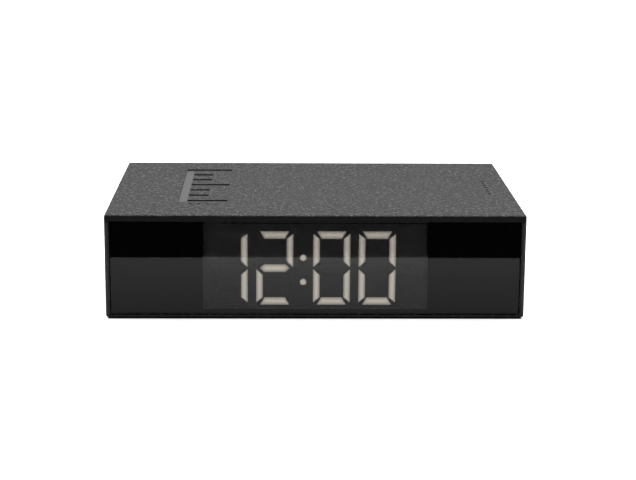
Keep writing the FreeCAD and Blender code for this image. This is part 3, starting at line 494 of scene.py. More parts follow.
def case_finish():
    """Grained black moulding. Its lighter flecks on the grain's crowns are partly the grain's tone and partly
    painted glints, fewer on faces that turn down. The floors of the marks sunk in the top are smooth, and
    painted lighter as a painted reflection. The front rim round the window is smooth too, with a painted
    highlight at the ends of the side walls and along the foot."""
    look = bpy.context.scene.clock_case
    finish, tree, shader = new_finish("Grained case", IOR=1.5)
    grain = use_effect(tree, "Moulded grain", Size=look.grain, Fine=0.5)
    hand = use_effect(tree, "Handling", Patch=0.03, Dust=0.25)
    z = position(tree)["Z"]
    top = CAD_BOX[1][2]
    deep = look.mark_depth
    sunk = between(tree, z, top - 1.3 * deep, top - 1.15 * deep, top - 0.85 * deep, top - 0.65 * deep)
    facing = add(tree, "ShaderNodeSeparateXYZ", {0: add(tree, "ShaderNodeNewGeometry").outputs["Normal"]})
    flat = remap(tree, facing.outputs["Z"], 0.9, 0.97)
    floor_mask = maths(tree, "MULTIPLY", sunk, flat)
    # Painted glints: pale flecks on the grain's crowns, faded on faces that turn down, away from the overhead
    # light.
    glint_facing = remap(tree, facing.outputs["Z"], -0.8, 0.8, 0.15, 1.0)
    glint_flecks = maths(tree, "MULTIPLY", grain["Fleck"], glint_facing)
    glint_flecked = blend_colour(tree, glint_flecks, opaque(look.shade), opaque(look.fleck))
    dusty = blend_colour(tree, hand["Dust"], glint_flecked, (0.3, 0.3, 0.29, 1.0))
    lens_top = corners("front_lens")[1][2]
    fore = remap(tree, facing.outputs["Y"], -0.97, -0.8, 1.0, 0.0)
    rim = maths(tree, "MULTIPLY", fore, remap(tree, z, lens_top - 0.2 * mm, lens_top))
    # Painted highlight: the front ends of the side walls, and more faintly the strip below the window's foot,
    # are painted paler.
    beside = maths(tree, "ABSOLUTE", position(tree)["X"])
    jamb_highlight = remap(tree, beside, CAD_BOX[1][0] - 1.6 * mm, CAD_BOX[1][0] - 0.2 * mm)
    jamb_highlight = maths(tree, "MULTIPLY", jamb_highlight, remap(tree, z, lens_top - 1.0 * mm, lens_top, 1.0, 0.0))
    lens_foot = corners("front_lens")[0][2]
    jamb_highlight = maths(tree, "MAXIMUM", jamb_highlight, remap(tree, z, lens_foot - 0.2 * mm, lens_foot, 0.3, 0.0))
    edge = blend_colour(tree, jamb_highlight, opaque(look.shade), opaque(look.jamb_highlight_colour))
    plain = blend_colour(tree, fore, dusty, edge)
    # The sunk marks' floors get a lighter colour, a painted reflection of the bright studio behind.
    feed(tree, shader, "Base Color", blend_colour(tree, floor_mask, plain, opaque(look.sunk_floor_reflection_colour)))
    rough = remap(tree, hand["Patches"], 0.0, 1.0, look.roughness - 0.03, look.roughness + 0.04)
    pitted = maths(tree, "ADD", rough, remap(tree, grain["Fleck"], 0.0, 0.7, 0.2, -0.22))
    polished = maths(tree, "MAXIMUM", floor_mask, rim)
    smooth = add(tree, "ShaderNodeMix", {0: polished, 2: pitted, 3: 0.26})
    feed(tree, shader, "Roughness", smooth.outputs[0])
    calm = maths(tree, "MAXIMUM", floor_mask, fore)
    height = maths(tree, "MULTIPLY", grain["Height"], remap(tree, calm, 0.0, 1.0, 1.0, 0.05))
    bump(tree, shader, height, look.grain_depth)
    return finish


def smooth_black(name, shade, roughness, grain_size, depth, dust=0.1, gloss=0.5):
    """Finer grained black moulding, for the rear panel, buttons and inner mouldings."""
    finish, tree, shader = new_finish(name, IOR=1.5, Specular_IOR_Level=gloss)
    grain = use_effect(tree, "Moulded grain", Size=grain_size, Fine=0.6)
    hand = use_effect(tree, "Handling", Patch=0.012, Dust=dust)
    lighter = tuple(min(1.0, c * 1.7 + 0.01) for c in shade)
    speckled = blend_colour(tree, grain["Fleck"], opaque(shade), opaque(lighter))
    feed(tree, shader, "Base Color", blend_colour(tree, hand["Dust"], speckled, (0.35, 0.35, 0.34, 1.0)))
    rough = remap(tree, hand["Patches"], 0.0, 1.0, roughness - 0.04, roughness + 0.05)
    feed(tree, shader, "Roughness", rough)
    bump(tree, shader, grain["Height"], depth)
    return finish


def display_grey(name):
    """Dull dark grey, for the reflector block and for bars that aren't lit, so that these hardly show."""
    return smooth_black(name, (0.1, 0.098, 0.1), 0.6, 0.3 * mm, 0.01 * mm, dust=0.0, gloss=0.0)


def lens_finish():
    """Smoke tinted clear plastic with a polished face."""
    finish, tree, shader = new_finish("Smoked window", IOR=1.45, Transmission_Weight=1.0, Roughness=0.0)
    hand = use_effect(tree, "Handling", Patch=0.02, Dust=0.0)
    tint = blend_colour(tree, hand["Patches"], (0.6, 0.59, 0.6, 1.0), (0.62, 0.61, 0.62, 1.0))
    feed(tree, shader, "Base Color", tint)
    return finish


def glow_finish():
    """Diffusing resin lit from behind: brightest along each bar's spine, and a little dimmer high up."""
    look = bpy.context.scene.clock_display
    finish, tree, shader = new_finish("Lit resin", Roughness=0.5, Emission_Strength=look.glow_strength)
    shader.inputs["Base Color"].default_value = (0.25, 0.24, 0.22, 1.0)
    core = add(tree, "ShaderNodeAttribute", attribute_name="core").outputs["Fac"]
    low, high = corners("segments_lit")
    z = position(tree)["Z"]
    tall = high[2] - low[2]
    level = remap(tree, z, low[2] + 0.56 * tall, low[2] + 0.74 * tall, 1.0, 0.76)
    dim = tuple(0.4 * c for c in look.glow)
    near = blend_colour(tree, remap(tree, core, 0.0, 0.85), opaque(dim), opaque(look.glow))
    bright = blend_colour(tree, remap(tree, core, 0.7, 1.0, 0.0, 0.5), near, (1.0, 0.97, 0.9, 1.0))
    grain = add(tree, "ShaderNodeTexNoise", {"Scale": 1800.0, "Detail": 2.0})
    tree.links.new(add(tree, "ShaderNodeTexCoord").outputs["Object"], grain.inputs["Vector"])
    cloud = maths(tree, "MULTIPLY", level, remap(tree, grain.outputs["Fac"], 0.3, 0.7, 0.94, 1.05))
    shaded = add(tree, "ShaderNodeVectorMath", {0: bright, 3: cloud}, operation="SCALE")
    feed(tree, shader, "Emission Color", shaded.outputs[0])
    bump(tree, shader, grain.outputs["Fac"], 0.02 * mm)
    return finish


def film_finish():
    """A thin neutral grey film that half hides what is behind it, with painted shade that makes it nearly
    black towards its foot.
    """
    finish, tree, shader = new_finish("Grey film", Roughness=0.8, Alpha=0.45, Specular_IOR_Level=0.0)
    hand = use_effect(tree, "Handling", Patch=0.02, Dust=0.0)
    low, high = corners("display_film")
    tall = high[2] - low[2]
    # Painted shade: the film darkens to nearly black towards its foot.
    deep = remap(tree, position(tree)["Z"], low[2] + 0.35 * tall, low[2] + 0.68 * tall, 1.0, 0.0, smooth=True)
    even = blend_colour(tree, hand["Patches"], (0.47, 0.46, 0.465, 1.0), (0.495, 0.485, 0.49, 1.0))
    tone = blend_colour(tree, deep, even, (0.03, 0.0295, 0.03, 1.0))
    feed(tree, shader, "Base Color", tone)
    return finish


def metal_finish(name, shade, roughness):
    """Plated or drawn metal: fine lines, patches of duller plating and a slight change of colour."""
    finish, tree, shader = new_finish(name, Metallic=1.0)
    lines = use_effect(tree, "Drawn lines")["Lines"]
    hand = use_effect(tree, "Handling", Patch=0.004, Dust=0.05)
    duller = tuple(0.7 * c for c in shade)
    tone = blend_colour(tree, maths(tree, "MULTIPLY", hand["Patches"], 0.6), opaque(shade), opaque(duller))
    feed(tree, shader, "Base Color", tone)
    rough = maths(tree, "ADD", remap(tree, lines, 0.0, 1.0, roughness - 0.05, roughness + 0.08),
                  remap(tree, hand["Patches"], 0.0, 1.0, 0.0, 0.08))
    feed(tree, shader, "Roughness", rough)
    bump(tree, shader, lines, 0.004 * mm)
    return finish


def rubber_finish():
    """Matt black rubber with a fine bloom of dust."""
    finish, tree, shader = new_finish("Foot rubber", IOR=1.45)
    grain = use_effect(tree, "Moulded grain", Size=0.25 * mm, Fine=0.7)
    hand = use_effect(tree, "Handling", Patch=0.003, Dust=0.3)
    tone = blend_colour(tree, hand["Patches"], (0.03, 0.03, 0.031, 1.0), (0.055, 0.054, 0.052, 1.0))
    feed(tree, shader, "Base Color", tone)
    feed(tree, shader, "Roughness", remap(tree, grain["Height"], 0.0, 1.0, 0.92, 0.74))
    bump(tree, shader, grain["Height"], 0.03 * mm)
    return finish


def label_finish():
    """Satin foil label with a thin printed frame and plain blank fields, and no lettering."""
    finish, tree, shader = new_finish("Blank label", Metallic=0.55)
    low, high = corners("rating_label")
    c = (low + high) / 2
    h = (high - low) / 2
    at = position(tree)
    x = maths(tree, "ABSOLUTE", maths(tree, "SUBTRACT", at["X"], c[0]))
    y = maths(tree, "ABSOLUTE", maths(tree, "SUBTRACT", at["Y"], c[1]))
    room = maths(tree, "MINIMUM", maths(tree, "SUBTRACT", h[0], x), maths(tree, "SUBTRACT", h[1], y))
    line = between(tree, room, 1.0 * mm, 1.05 * mm, 1.3 * mm, 1.35 * mm)
    rows = maths(tree, "FRACT", maths(tree, "DIVIDE", maths(tree, "SUBTRACT", at["Y"], low[1]), h[1] / 2))
    row = between(tree, rows, 0.44, 0.46, 0.54, 0.56)
    field = maths(tree, "MULTIPLY", maths(tree, "MULTIPLY", row, remap(tree, room, 2.4 * mm, 2.5 * mm)),
                  remap(tree, x, 0.7 * h[0], 0.71 * h[0], 1.0, 0.0))
    ink = maths(tree, "MAXIMUM", line, maths(tree, "MULTIPLY", field, 0.45))
    hand = use_effect(tree, "Handling", Patch=0.008, Dust=0.1)
    foil = blend_colour(tree, hand["Patches"], (0.42, 0.42, 0.43, 1.0), (0.5, 0.5, 0.5, 1.0))
    feed(tree, shader, "Base Color", blend_colour(tree, ink, foil, (0.05, 0.05, 0.05, 1.0)))
    feed(tree, shader, "Roughness", remap(tree, hand["Patches"], 0.0, 1.0, 0.38, 0.5))
    return finish


def board_finish():
    """Green solder mask over copper tracks that run level and upright, with a scatter of small vias."""
    finish, tree, shader = new_finish("Solder mask", Roughness=0.32, IOR=1.5)
    place = add(tree, "ShaderNodeTexCoord").outputs["Object"]
    flat = add(tree, "ShaderNodeMapping", {"Vector": place, "Rotation": (math.radians(90), 0, 0)}).outputs[0]
    tracks = add(tree, "ShaderNodeTexBrick", {"Vector": flat, "Scale": 260.0, "Mortar Size": 0.06,
                                              "Brick Width": 1.4, "Row Height": 0.33})
    vias = add(tree, "ShaderNodeTexVoronoi", {"Vector": flat, "Scale": 330.0}, voronoi_dimensions="2D")
    via = remap(tree, vias.outputs["Distance"], 0.1, 0.13, 1.0, 0.0)
    tone = blend_colour(tree, tracks.outputs["Fac"], (0.012, 0.075, 0.03, 1.0), (0.03, 0.16, 0.06, 1.0))
    feed(tree, shader, "Base Color", blend_colour(tree, via, tone, (0.45, 0.4, 0.3, 1.0)))
    bump(tree, shader, tracks.outputs["Fac"], 0.03 * mm)
    return finish


def chip_finish():
    """Dull moulded epoxy with a fine sparkle of filler."""
    finish, tree, shader = new_finish("Chip", IOR=1.5)
    grain = use_effect(tree, "Moulded grain", Size=0.12 * mm, Fine=0.7)
    tone = blend_colour(tree, grain["Fleck"], (0.018, 0.018, 0.019, 1.0), (0.05, 0.05, 0.05, 1.0))
    feed(tree, shader, "Base Color", tone)
    feed(tree, shader, "Roughness", remap(tree, grain["Height"], 0.0, 1.0, 0.62, 0.5))
    bump(tree, shader, grain["Height"], 0.01 * mm)
    return finish


def plain_moulding(name, shade, roughness):
    """Pale or coloured nylon or vinyl: slight clouding and a faint grain."""
    finish, tree, shader = new_finish(name, IOR=1.5)
    grain = use_effect(tree, "Moulded grain", Size=0.2 * mm, Fine=0.7)
    hand = use_effect(tree, "Handling", Patch=0.005, Dust=0.1)
    darker = tuple(0.82 * c for c in shade)
    feed(tree, shader, "Base Color", blend_colour(tree, hand["Patches"], opaque(shade), opaque(darker)))
    feed(tree, shader, "Roughness", remap(tree, hand["Patches"], 0.0, 1.0, roughness, roughness + 0.08))
    bump(tree, shader, grain["Height"], 0.008 * mm)
    return finish


def ribbon_finish():
    """Grey vinyl flat cable: a fine ridge over each conductor, and one coloured edge."""
    finish, tree, shader = new_finish("Flat cable", Roughness=0.42, IOR=1.5)
    low = corners("ribbon_cable")[0]
    x = position(tree)["X"]
    pitch = 1.0 * mm
    phase = maths(tree, "MULTIPLY", maths(tree, "SUBTRACT", x, low[0]), 2 * math.pi / pitch)
    ridge = maths(tree, "SINE", phase)
    edge = remap(tree, x, low[0] + 0.9 * mm, low[0] + 1.0 * mm, 1.0, 0.0)
    tone = blend_colour(tree, remap(tree, ridge, -1.0, 1.0), (0.2, 0.2, 0.21, 1.0), (0.33, 0.33, 0.34, 1.0))
    feed(tree, shader, "Base Color", blend_colour(tree, edge, tone, (0.3, 0.04, 0.03, 1.0)))
    bump(tree, shader, ridge, 0.08 * mm)
    return finish


def cell_finish():
    """A plain shrink sleeve: pale with a darker band round both ends of each cell, and bare metal past it."""
    finish, tree, shader = new_finish("Cell sleeve", IOR=1.5)
    low, high = corners(CELLS[0])
    size = high - low
    at = position(tree)
    reach = maths(tree, "ABSOLUTE", at["X"])
    bare = remap(tree, reach, 0.5 * size[0] - 1.35 * mm, 0.5 * size[0] - 1.3 * mm)
    band = remap(tree, reach, 0.5 * size[0] - 9.0 * mm, 0.5 * size[0] - 8.9 * mm)
    hand = use_effect(tree, "Handling", Patch=0.01, Dust=0.1)
    pale = blend_colour(tree, hand["Patches"], (0.42, 0.44, 0.46, 1.0), (0.5, 0.52, 0.54, 1.0))
    sleeve = blend_colour(tree, band, pale, (0.05, 0.09, 0.16, 1.0))
    feed(tree, shader, "Base Color", blend_colour(tree, bare, sleeve, (0.6, 0.6, 0.58, 1.0)))
    feed(tree, shader, "Metallic", remap(tree, bare, 0.0, 1.0, 0.1, 1.0))
    feed(tree, shader, "Roughness", remap(tree, hand["Patches"], 0.0, 1.0, 0.25, 0.34))
    return finish


FINISHES = {}
FINISH_MAKERS = {
    "case_black": case_finish,
    "panel_black": lambda: smooth_black("Panel moulding", (0.02, 0.02, 0.021), 0.5, 0.2 * mm, 0.02 * mm),
    "lens_smoke": lens_finish,
    "mask_black": lambda: smooth_black("Mask foil", (0.004, 0.004, 0.004), 0.6, 0.3 * mm, 0.004 * mm, 0.0),
    "label_grey": label_finish,
    "foot_rubber": rubber_finish,
    "screw_steel": lambda: metal_finish("Zinc plate", (0.55, 0.55, 0.56), 0.32),
    "reflector_grey": lambda: display_grey("Reflector"),
    "film_smoke": film_finish,
    "segment_lit": glow_finish,
    "segment_dark": lambda: display_grey("Unlit resin"),
    "board_green": board_finish,
    "led_yellow": lambda: plain_moulding("Phosphor chip", (0.85, 0.75, 0.25), 0.4),
    "chip_black": chip_finish,
    "socket_cream": lambda: plain_moulding("Socket nylon", (0.72, 0.68, 0.56), 0.45),
    "can_metal": lambda: metal_finish("Drawn can", (0.7, 0.7, 0.71), 0.25),
    "capacitor_sleeve": lambda: plain_moulding("Capacitor sleeve", (0.02, 0.025, 0.07), 0.3),
    "ribbon_grey": ribbon_finish,
    "switch_black": lambda: smooth_black("Switch moulding", (0.02, 0.02, 0.02), 0.45, 0.15 * mm, 0.008 * mm),
    "contact_steel": lambda: metal_finish("Nickel plate", (0.72, 0.7, 0.64), 0.2),
    "knob_white": lambda: plain_moulding("Knob moulding", (0.62, 0.62, 0.6), 0.42),
    "buzzer_black": lambda: smooth_black("Buzzer moulding", (0.016, 0.016, 0.016), 0.4, 0.2 * mm, 0.01 * mm),
    "usb_steel": lambda: metal_finish("Inlet shell", (0.6, 0.6, 0.6), 0.28),
    "button_black": lambda: smooth_black(
        "Button moulding", (0.035, 0.035, 0.037), 0.38, 0.18 * mm, 0.012 * mm),
    "cell_sleeve": cell_finish,
    "lead_red": lambda: plain_moulding("Red vinyl", (0.45, 0.02, 0.015), 0.38),
    "lead_black": lambda: plain_moulding("Black vinyl", (0.015, 0.015, 0.015), 0.38),
    "contact_gold": lambda: metal_finish("Gold plate", (0.83, 0.62, 0.25), 0.22),
    "mark_white": lambda: plain_moulding("Pad print", (0.55, 0.55, 0.54), 0.6),
}


def finish_for(slot):
    if slot not in FINISHES:
        FINISHES[slot] = FINISH_MAKERS[slot]()
    return FINISHES[slot]


# Operators

class CLOCK_OT_case(bpy.types.Operator):
    """Gives every frame node that stays its own finish"""
    bl_idname = "clock.case"
    bl_label = "Finish the frame"

    def execute(self, context):
        for entry in frame["record"]["subparts"]:
            node = frame["nodes"][entry["node"]]
            node.data.materials.clear()
            node.data.materials.append(finish_for(entry["material_slot"]))
        return {"FINISHED"}


def bar_outlines(look, left, low, high):
    """The outlines of a digit's seven bars by name: a top, b c right, d bottom, e f left, g middle."""
    w = look.digit_width
    h = high - low
    bar = np.array([
        (look.bar_inset, h),
        (w - look.bar_inset, h),
        (w - look.bar_inset - look.bar_slant, h - look.bar),
        (look.bar_inset + look.bar_slant, h - look.bar),
    ])
    post = np.array([
        (w, h - look.tip_drop),
        (w, h / 2 + look.middle_gap),
        (w - look.post, h / 2 + look.middle_gap + look.middle_slant),
        (w - look.post, h - look.tip_drop - look.end_slant),
    ])
    b = look.bar / 2
    mid = np.array([
        (look.bar_inset, h / 2),
        (look.bar_inset + b, h / 2 + b),
        (w - look.bar_inset - b, h / 2 + b),
        (w - look.bar_inset, h / 2),
        (w - look.bar_inset - b, h / 2 - b),
        (look.bar_inset + b, h / 2 - b),
    ])
    side = np.array([w, 0.0])
    flip_x = np.array([-1.0, 1.0])
    rise = np.array([0.0, h])
    flip_z = np.array([1.0, -1.0])
    shapes = {
        "a": bar,
        "b": post,
        "c": rise + flip_z * post,
        "d": rise + flip_z * bar,
        "e": side + rise - post,
        "f": side + flip_x * post,
        "g": mid,
    }
    return {name: outline + np.array([left, low]) for name, outline in shapes.items()}


def softened(outline, radius, steps=5):
    """A closed outline with its corners eased, evenly divided."""
    around = zip(np.roll(outline, 1, 0), outline, np.roll(outline, -1, 0))
    ring = np.concatenate([eased_corner(a, b, c, radius, steps) for a, b, c in around])
    loop = np.concatenate([ring, ring[:1]])
    gaps = np.linalg.norm(np.diff(loop, axis=0), axis=1)
    reach = np.concatenate([[0], np.cumsum(gaps)])
    even = np.linspace(0, reach[-1], 64, endpoint=False)
    even = np.unique(np.concatenate([even, reach[:-1]]))
    return np.stack([np.interp(even, reach, loop[:, k]) for k in (0, 1)], -1)


def bar_sheet(outline, thickness, front, depth, crown):
    """A resin bar: rings from its back spine to its rim, forward, and in over a crowned face to its spine.

    The spine runs along the longer middle of the outline, half a thickness short of each tip.
    """
    rim = softened(outline, 0.18 * mm)
    low = outline.min(0)
    high = outline.max(0)
    c = (low + high) / 2
    along = int(high[1] - low[1] > high[0] - low[0])
    spine = np.tile(c, (len(rim), 1))
    keep = (high - low)[along] / 2 - 0.75 * thickness
    spine[:, along] = np.clip(rim[:, along], c[along] - keep, c[along] + keep)
    steps = [(1.0, depth, 0.0), (0.0, depth, 0.0), (0.0, 0.04 * mm, 0.0)]
    steps += [(v, -crown * math.sin(v * math.pi / 2), v) for v in np.linspace(0, 1, 9)]
    rings = []
    core = []
    for inward, back, glow in steps:
        flat = rim + (spine - rim) * inward
        rings.append(np.stack([flat[:, 0], np.full(len(flat), front + back), flat[:, 1]], -1))
        core.append(np.full(len(flat), glow))
    return sheet(np.stack(rings, 1), wrap=True, core=np.stack(core, 1))


def dot_sheet(x, z, radius, front, depth, crown):
    """A round resin dot: rings of a shrinking radius over a crowned face."""
    t = np.linspace(0, 2 * np.pi, 40, endpoint=False)[:, None]
    steps = np.array([(0.0, depth, 0.0), (1.0, depth, 0.0), (1.0, 0.04 * mm, 0.0)] + [
        (math.cos(v * math.pi / 2), -crown * math.sin(v * math.pi / 2), v) for v in np.linspace(0, 1, 9)])
    r = radius * steps[None, :, 0]
    y = np.broadcast_to(front + steps[:, 1], (len(t), len(steps)))
    points = np.stack([x + r * np.cos(t), y, z + r * np.sin(t)], -1)
    return sheet(points, wrap=True, core=steps[:, 2])


class CLOCK_OT_digits(bpy.types.Operator):
    """Builds the resin bars and dots of the display, with those of twelve o'clock lit"""
    bl_idname = "clock.digits"
    bl_label = "Build the digits"

    def execute(self, context):
        look = context.scene.clock_display
        low = corners("display_case")[0]
        bar_low = low[2] + look.digit_foot
        bar_high = bar_low + look.digit_height
        front = low[1] + look.crown + 0.02 * mm
        depth = corners("segments_lit")[1][1] - front
        lit = []
        dark = []
        for i, shown in enumerate(("bc", "abdeg", "abcdef", "abcdef")):
            left = low[0] + look.left_margin + i * (look.digit_width + look.digit_space)
            left += look.colon_space * (i > 1)
            for name, outline in bar_outlines(look, left, bar_low, bar_high).items():
                thickness = look.bar if name in "adg" else look.post
                if name in shown:
                    lit.append(bar_sheet(outline, thickness, front, depth, look.crown))
                else:
                    dark.append(bar_sheet(outline, thickness, low[1] + 0.01 * mm, depth, 0.0))
        make_piece("resin_bars_lit", lit, ROOT, "segment_lit", ["segments_lit"])
        make_piece("resin_bars_dark", dark, ROOT, "segment_dark", ["segments_dark"])
        for name, node, slot, count in (
            ("colon_lights", "colon_dots", "segment_lit", 2),
            ("status_lights", "indicator_dots", "segment_dark", 3),
        ):
            a, b = corners(node)
            r = (b[0] - a[0]) / 2
            heights = np.linspace(a[2] + r, b[2] - r, count)
            dots = [dot_sheet((a[0] + b[0]) / 2, z, r, front, b[1] - front, look.crown) for z in heights]
            make_piece(name, dots, ROOT, slot, [node])
        return {"FINISHED"}


class CLOCK_OT_feet(bpy.types.Operator):
    """Builds the four rubber feet, with raised rings underneath"""
    bl_idname = "clock.feet"
    bl_label = "Build the feet"

    def execute(self, context):
        rings = context.scene.clock_hardware.foot_rings
        for node in FEET:
            low, high = corners(node)
            radius = (high[0] - low[0]) / 2
            height = high[2] - low[2]
            face = np.linspace(0, 1, 16 * rings + 1)
            ripple = 0.16 * mm * (0.5 + 0.5 * np.cos(2 * np.pi * face * rings))
            shoulder = [
                (radius - 0.35 * mm, 0.0), (radius - 0.1 * mm, 0.1 * mm), (radius, 0.4 * mm),
                (radius, height), (0.0, height),
            ]
            profile = [(f * (radius - 0.6 * mm), r) for f, r in zip(face, ripple)] + shoulder
            centre = ((low[0] + high[0]) / 2, (low[1] + high[1]) / 2, low[2])
            made = turned(centre, (0, 0, 1), profile)
            make_piece(node + "_rubber", [made], ROOT, "foot_rubber", [node])
        return {"FINISHED"}


def screw_sheets(seat, axis, thread, head, head_height, reach, depth):
    """A cross recessed pan head screw that goes in along axis from its seat.

    The head is a polar grid: its height is a dome less a cross, whose two arms are steps of a smooth function
    of the distance to each arm's middle line. The shank's radius falls by the thread's depth as a wave of
    height over pitch less turn.
    """
    u, v, w = axes_about(axis)
    seat = np.asarray(seat, float)
    t = np.linspace(0, 2 * np.pi, 96, endpoint=False)[:, None]
    r = np.linspace(0, 1, 34)[None, :] * head
    dome = head_height * (0.62 + 0.38 * np.sqrt(np.clip(1 - (r / head) ** 2, 0, 1)))
    x = r * np.cos(t)
    y = r * np.sin(t)
    width = 0.16 * head
    long = 0.62 * head
    soft = 0.05 * head

    def step(value, edge):
        return 1 / (1 + np.exp(np.clip((value - edge) / soft * 3, -40, 40)))

    arm = np.maximum(step(abs(x), width) * step(abs(y), long), step(abs(y), width) * step(abs(x), long))
    top = dome - arm * 0.55 * head_height * np.clip(1.25 - r / long, 0.2, 1)
    points = seat + x[..., None] * u + y[..., None] * v - top[..., None] * w
    skirt = rounded_profile([(head, -0.62 * head_height), (head, 0.0), (thread, 0.0)], 0.12 * head)
    pitch = 0.66 * thread
    turns = reach / pitch
    along = np.linspace(0, 1, int(turns * 10))[None, :]
    wave = np.abs(((along * turns - t / (2 * np.pi)) % 1) - 0.5) * 2
    taper = np.clip((1 - along) * reach / (1.2 * thread), 0.12, 1)
    rad = (thread - depth * wave) * taper
    shank = seat + rad[..., None] * (np.cos(t)[..., None] * u + np.sin(t)[..., None] * v)
    shank = shank + (along * reach)[..., None] * w
    tip = np.broadcast_to(seat + w * reach, (96, 1, 3))
    shank = np.concatenate([shank, tip], 1)
    return [sheet(points, wrap=True), turned(seat, w, skirt, 96), sheet(shank, wrap=True)]


class CLOCK_OT_screws(bpy.types.Operator):
    """Builds the housing screws and the screws of both boards"""
    bl_idname = "clock.screws"
    bl_label = "Build the screws"

    def execute(self, context):
        look = context.scene.clock_hardware
        for node, axis, thread, head, rise in (
            ("housing_screws", (0, 0, 1), look.housing_screw, look.housing_head, look.housing_head_height),
            ("display_screws", (0, -1, 0), look.small_screw, look.small_head, look.small_head_height),
            ("board_screws", (0, 1, 0), look.small_screw, look.small_head, look.small_head_height),
        ):
            low, high = corners(node)
            way = np.array(axis, float)
            run = int(np.argmax(np.abs(way)))
            total = high[run] - low[run]
            start = low[run] if way[run] > 0 else high[run]
            across = [k for k in range(3) if k != run]
            sheets = []
            for sa in (0, 1):
                for sb in (0, 1):
                    seat = np.zeros(3)
                    for k, s in zip(across, (sa, sb)):
                        seat[k] = (high[k] - head) if s else (low[k] + head)
                    seat[run] = start + way[run] * rise
                    sheets += screw_sheets(seat, way, thread, head, rise, total - rise, look.thread_depth)
            make_piece(node + "_cut", sheets, ROOT, "screw_steel", [node], crease=50.0)
        return {"FINISHED"}


class CLOCK_OT_buttons(bpy.types.Operator):
    """Builds the dished button caps and the ribbed knob of the power switch"""
    bl_idname = "clock.buttons"
    bl_label = "Build the buttons"

    def execute(self, context):
        for node in BUTTONS:
            low, high = corners(node)
            c = (low + high) / 2
            flange = 0.8 * mm
            thick = 1.2 * mm
            half_w = (high[0] - low[0]) / 2 - flange
            half_h = (high[2] - low[2]) / 2 - flange
            face = high[1]
            steps = [(half_h, low[1]), (-flange, low[1]), (-flange, low[1] + thick), (0.0, low[1] + thick),
                     (0.0, face - 0.45 * mm), (0.05 * mm, face - 0.22 * mm), (0.18 * mm, face - 0.07 * mm),
                     (0.38 * mm, face)]
            dish = [(0.38 * mm + (half_h - 0.38 * mm) * v, face - 0.32 * mm * math.sin(v * math.pi / 2) ** 2)
                    for v in np.linspace(0.08, 1, 12)]
            made = obround(c, half_w, half_h, steps + dish)
            body = node.replace("button_", "") + "_button"
            make_piece(node + "_cap", [made], body, "button_black", [node], crease=50.0)
        self.knob()
        return {"FINISHED"}

    def knob(self):
        """The knob's face is a row of ribs: its depth is a rounded wave along X, carried over Z."""
        low, high = corners("slide_switch_knob")
        c = (low + high) / 2
        flange_half = (high[2] - low[2]) / 2
        flange_back = low[1] + 1.6 * mm
        stem_half = flange_half - 0.8 * mm
        half = 1.6 * mm
        x = np.linspace(-half, half, 81)
        ribs = 0.28 * mm * (0.5 - 0.5 * np.cos(x / half * 4 * np.pi)) ** 0.5
        ribs[[0, -1]] = 0.25 * mm
        z = np.array([-1, -1, -0.9, 0.9, 1, 1]) * stem_half
        drop = np.array([high[1] - flange_back, 0.3 * mm, 0, 0, 0.3 * mm, high[1] - flange_back])
        y = high[1] - np.maximum(ribs[:, None], 0) - drop[None, :]
        y[:, [0, -1]] = flange_back
        grid = np.stack(np.broadcast_arrays(c[0] + x[:, None], y, c[2] + z[None, :]), -1)
        ends = []
        for row in (0, -1):
            foot = grid[row].copy()
            foot[:, 1] = flange_back
            ends.append(sheet(np.stack([grid[row], foot])))
        back = sheet(np.stack([grid[:, 0], grid[:, -1]], 1))
        plate = slab((low[0], low[1] + 0.3 * mm, low[2]), (high[0], flange_back, high[2]), 0.15 * mm)
        stem_low = (c[0] - half, low[1], c[2] - stem_half)
        stem = slab(stem_low, (c[0] + half, low[1] + 0.3 * mm, c[2] + stem_half))
        sheets = [sheet(grid), *ends, back, plate, stem]
        make_piece("power_knob", sheets, "power_switch", "knob_white",
                   ["slide_switch_knob"], crease=40.0)


class CLOCK_OT_inlet(bpy.types.Operator):
    """Builds the gold pads on the inlet's tongue"""
    bl_idname = "clock.inlet"
    bl_label = "Build the inlet pads"

    def execute(self, context):
        count = context.scene.clock_hardware.contact_pads
        low, high = corners("usb_tongue")
        width = (high[0] - low[0] - 0.8 * mm) / count
        pads = []
        for z in (low[2], high[2]):
            for i in range(count):
                x = low[0] + 0.4 * mm + (i + 0.5) * width
                a = (x - 0.3 * width, low[1] + 0.4 * mm, z - 0.02 * mm)
                b = (x + 0.3 * width, high[1] - 0.5 * mm, z + 0.02 * mm)
                pads.append(slab(a, b, 0.01 * mm))
        make_piece("inlet_pads", pads, ROOT, "contact_steel", finish="contact_gold")
        return {"FINISHED"}


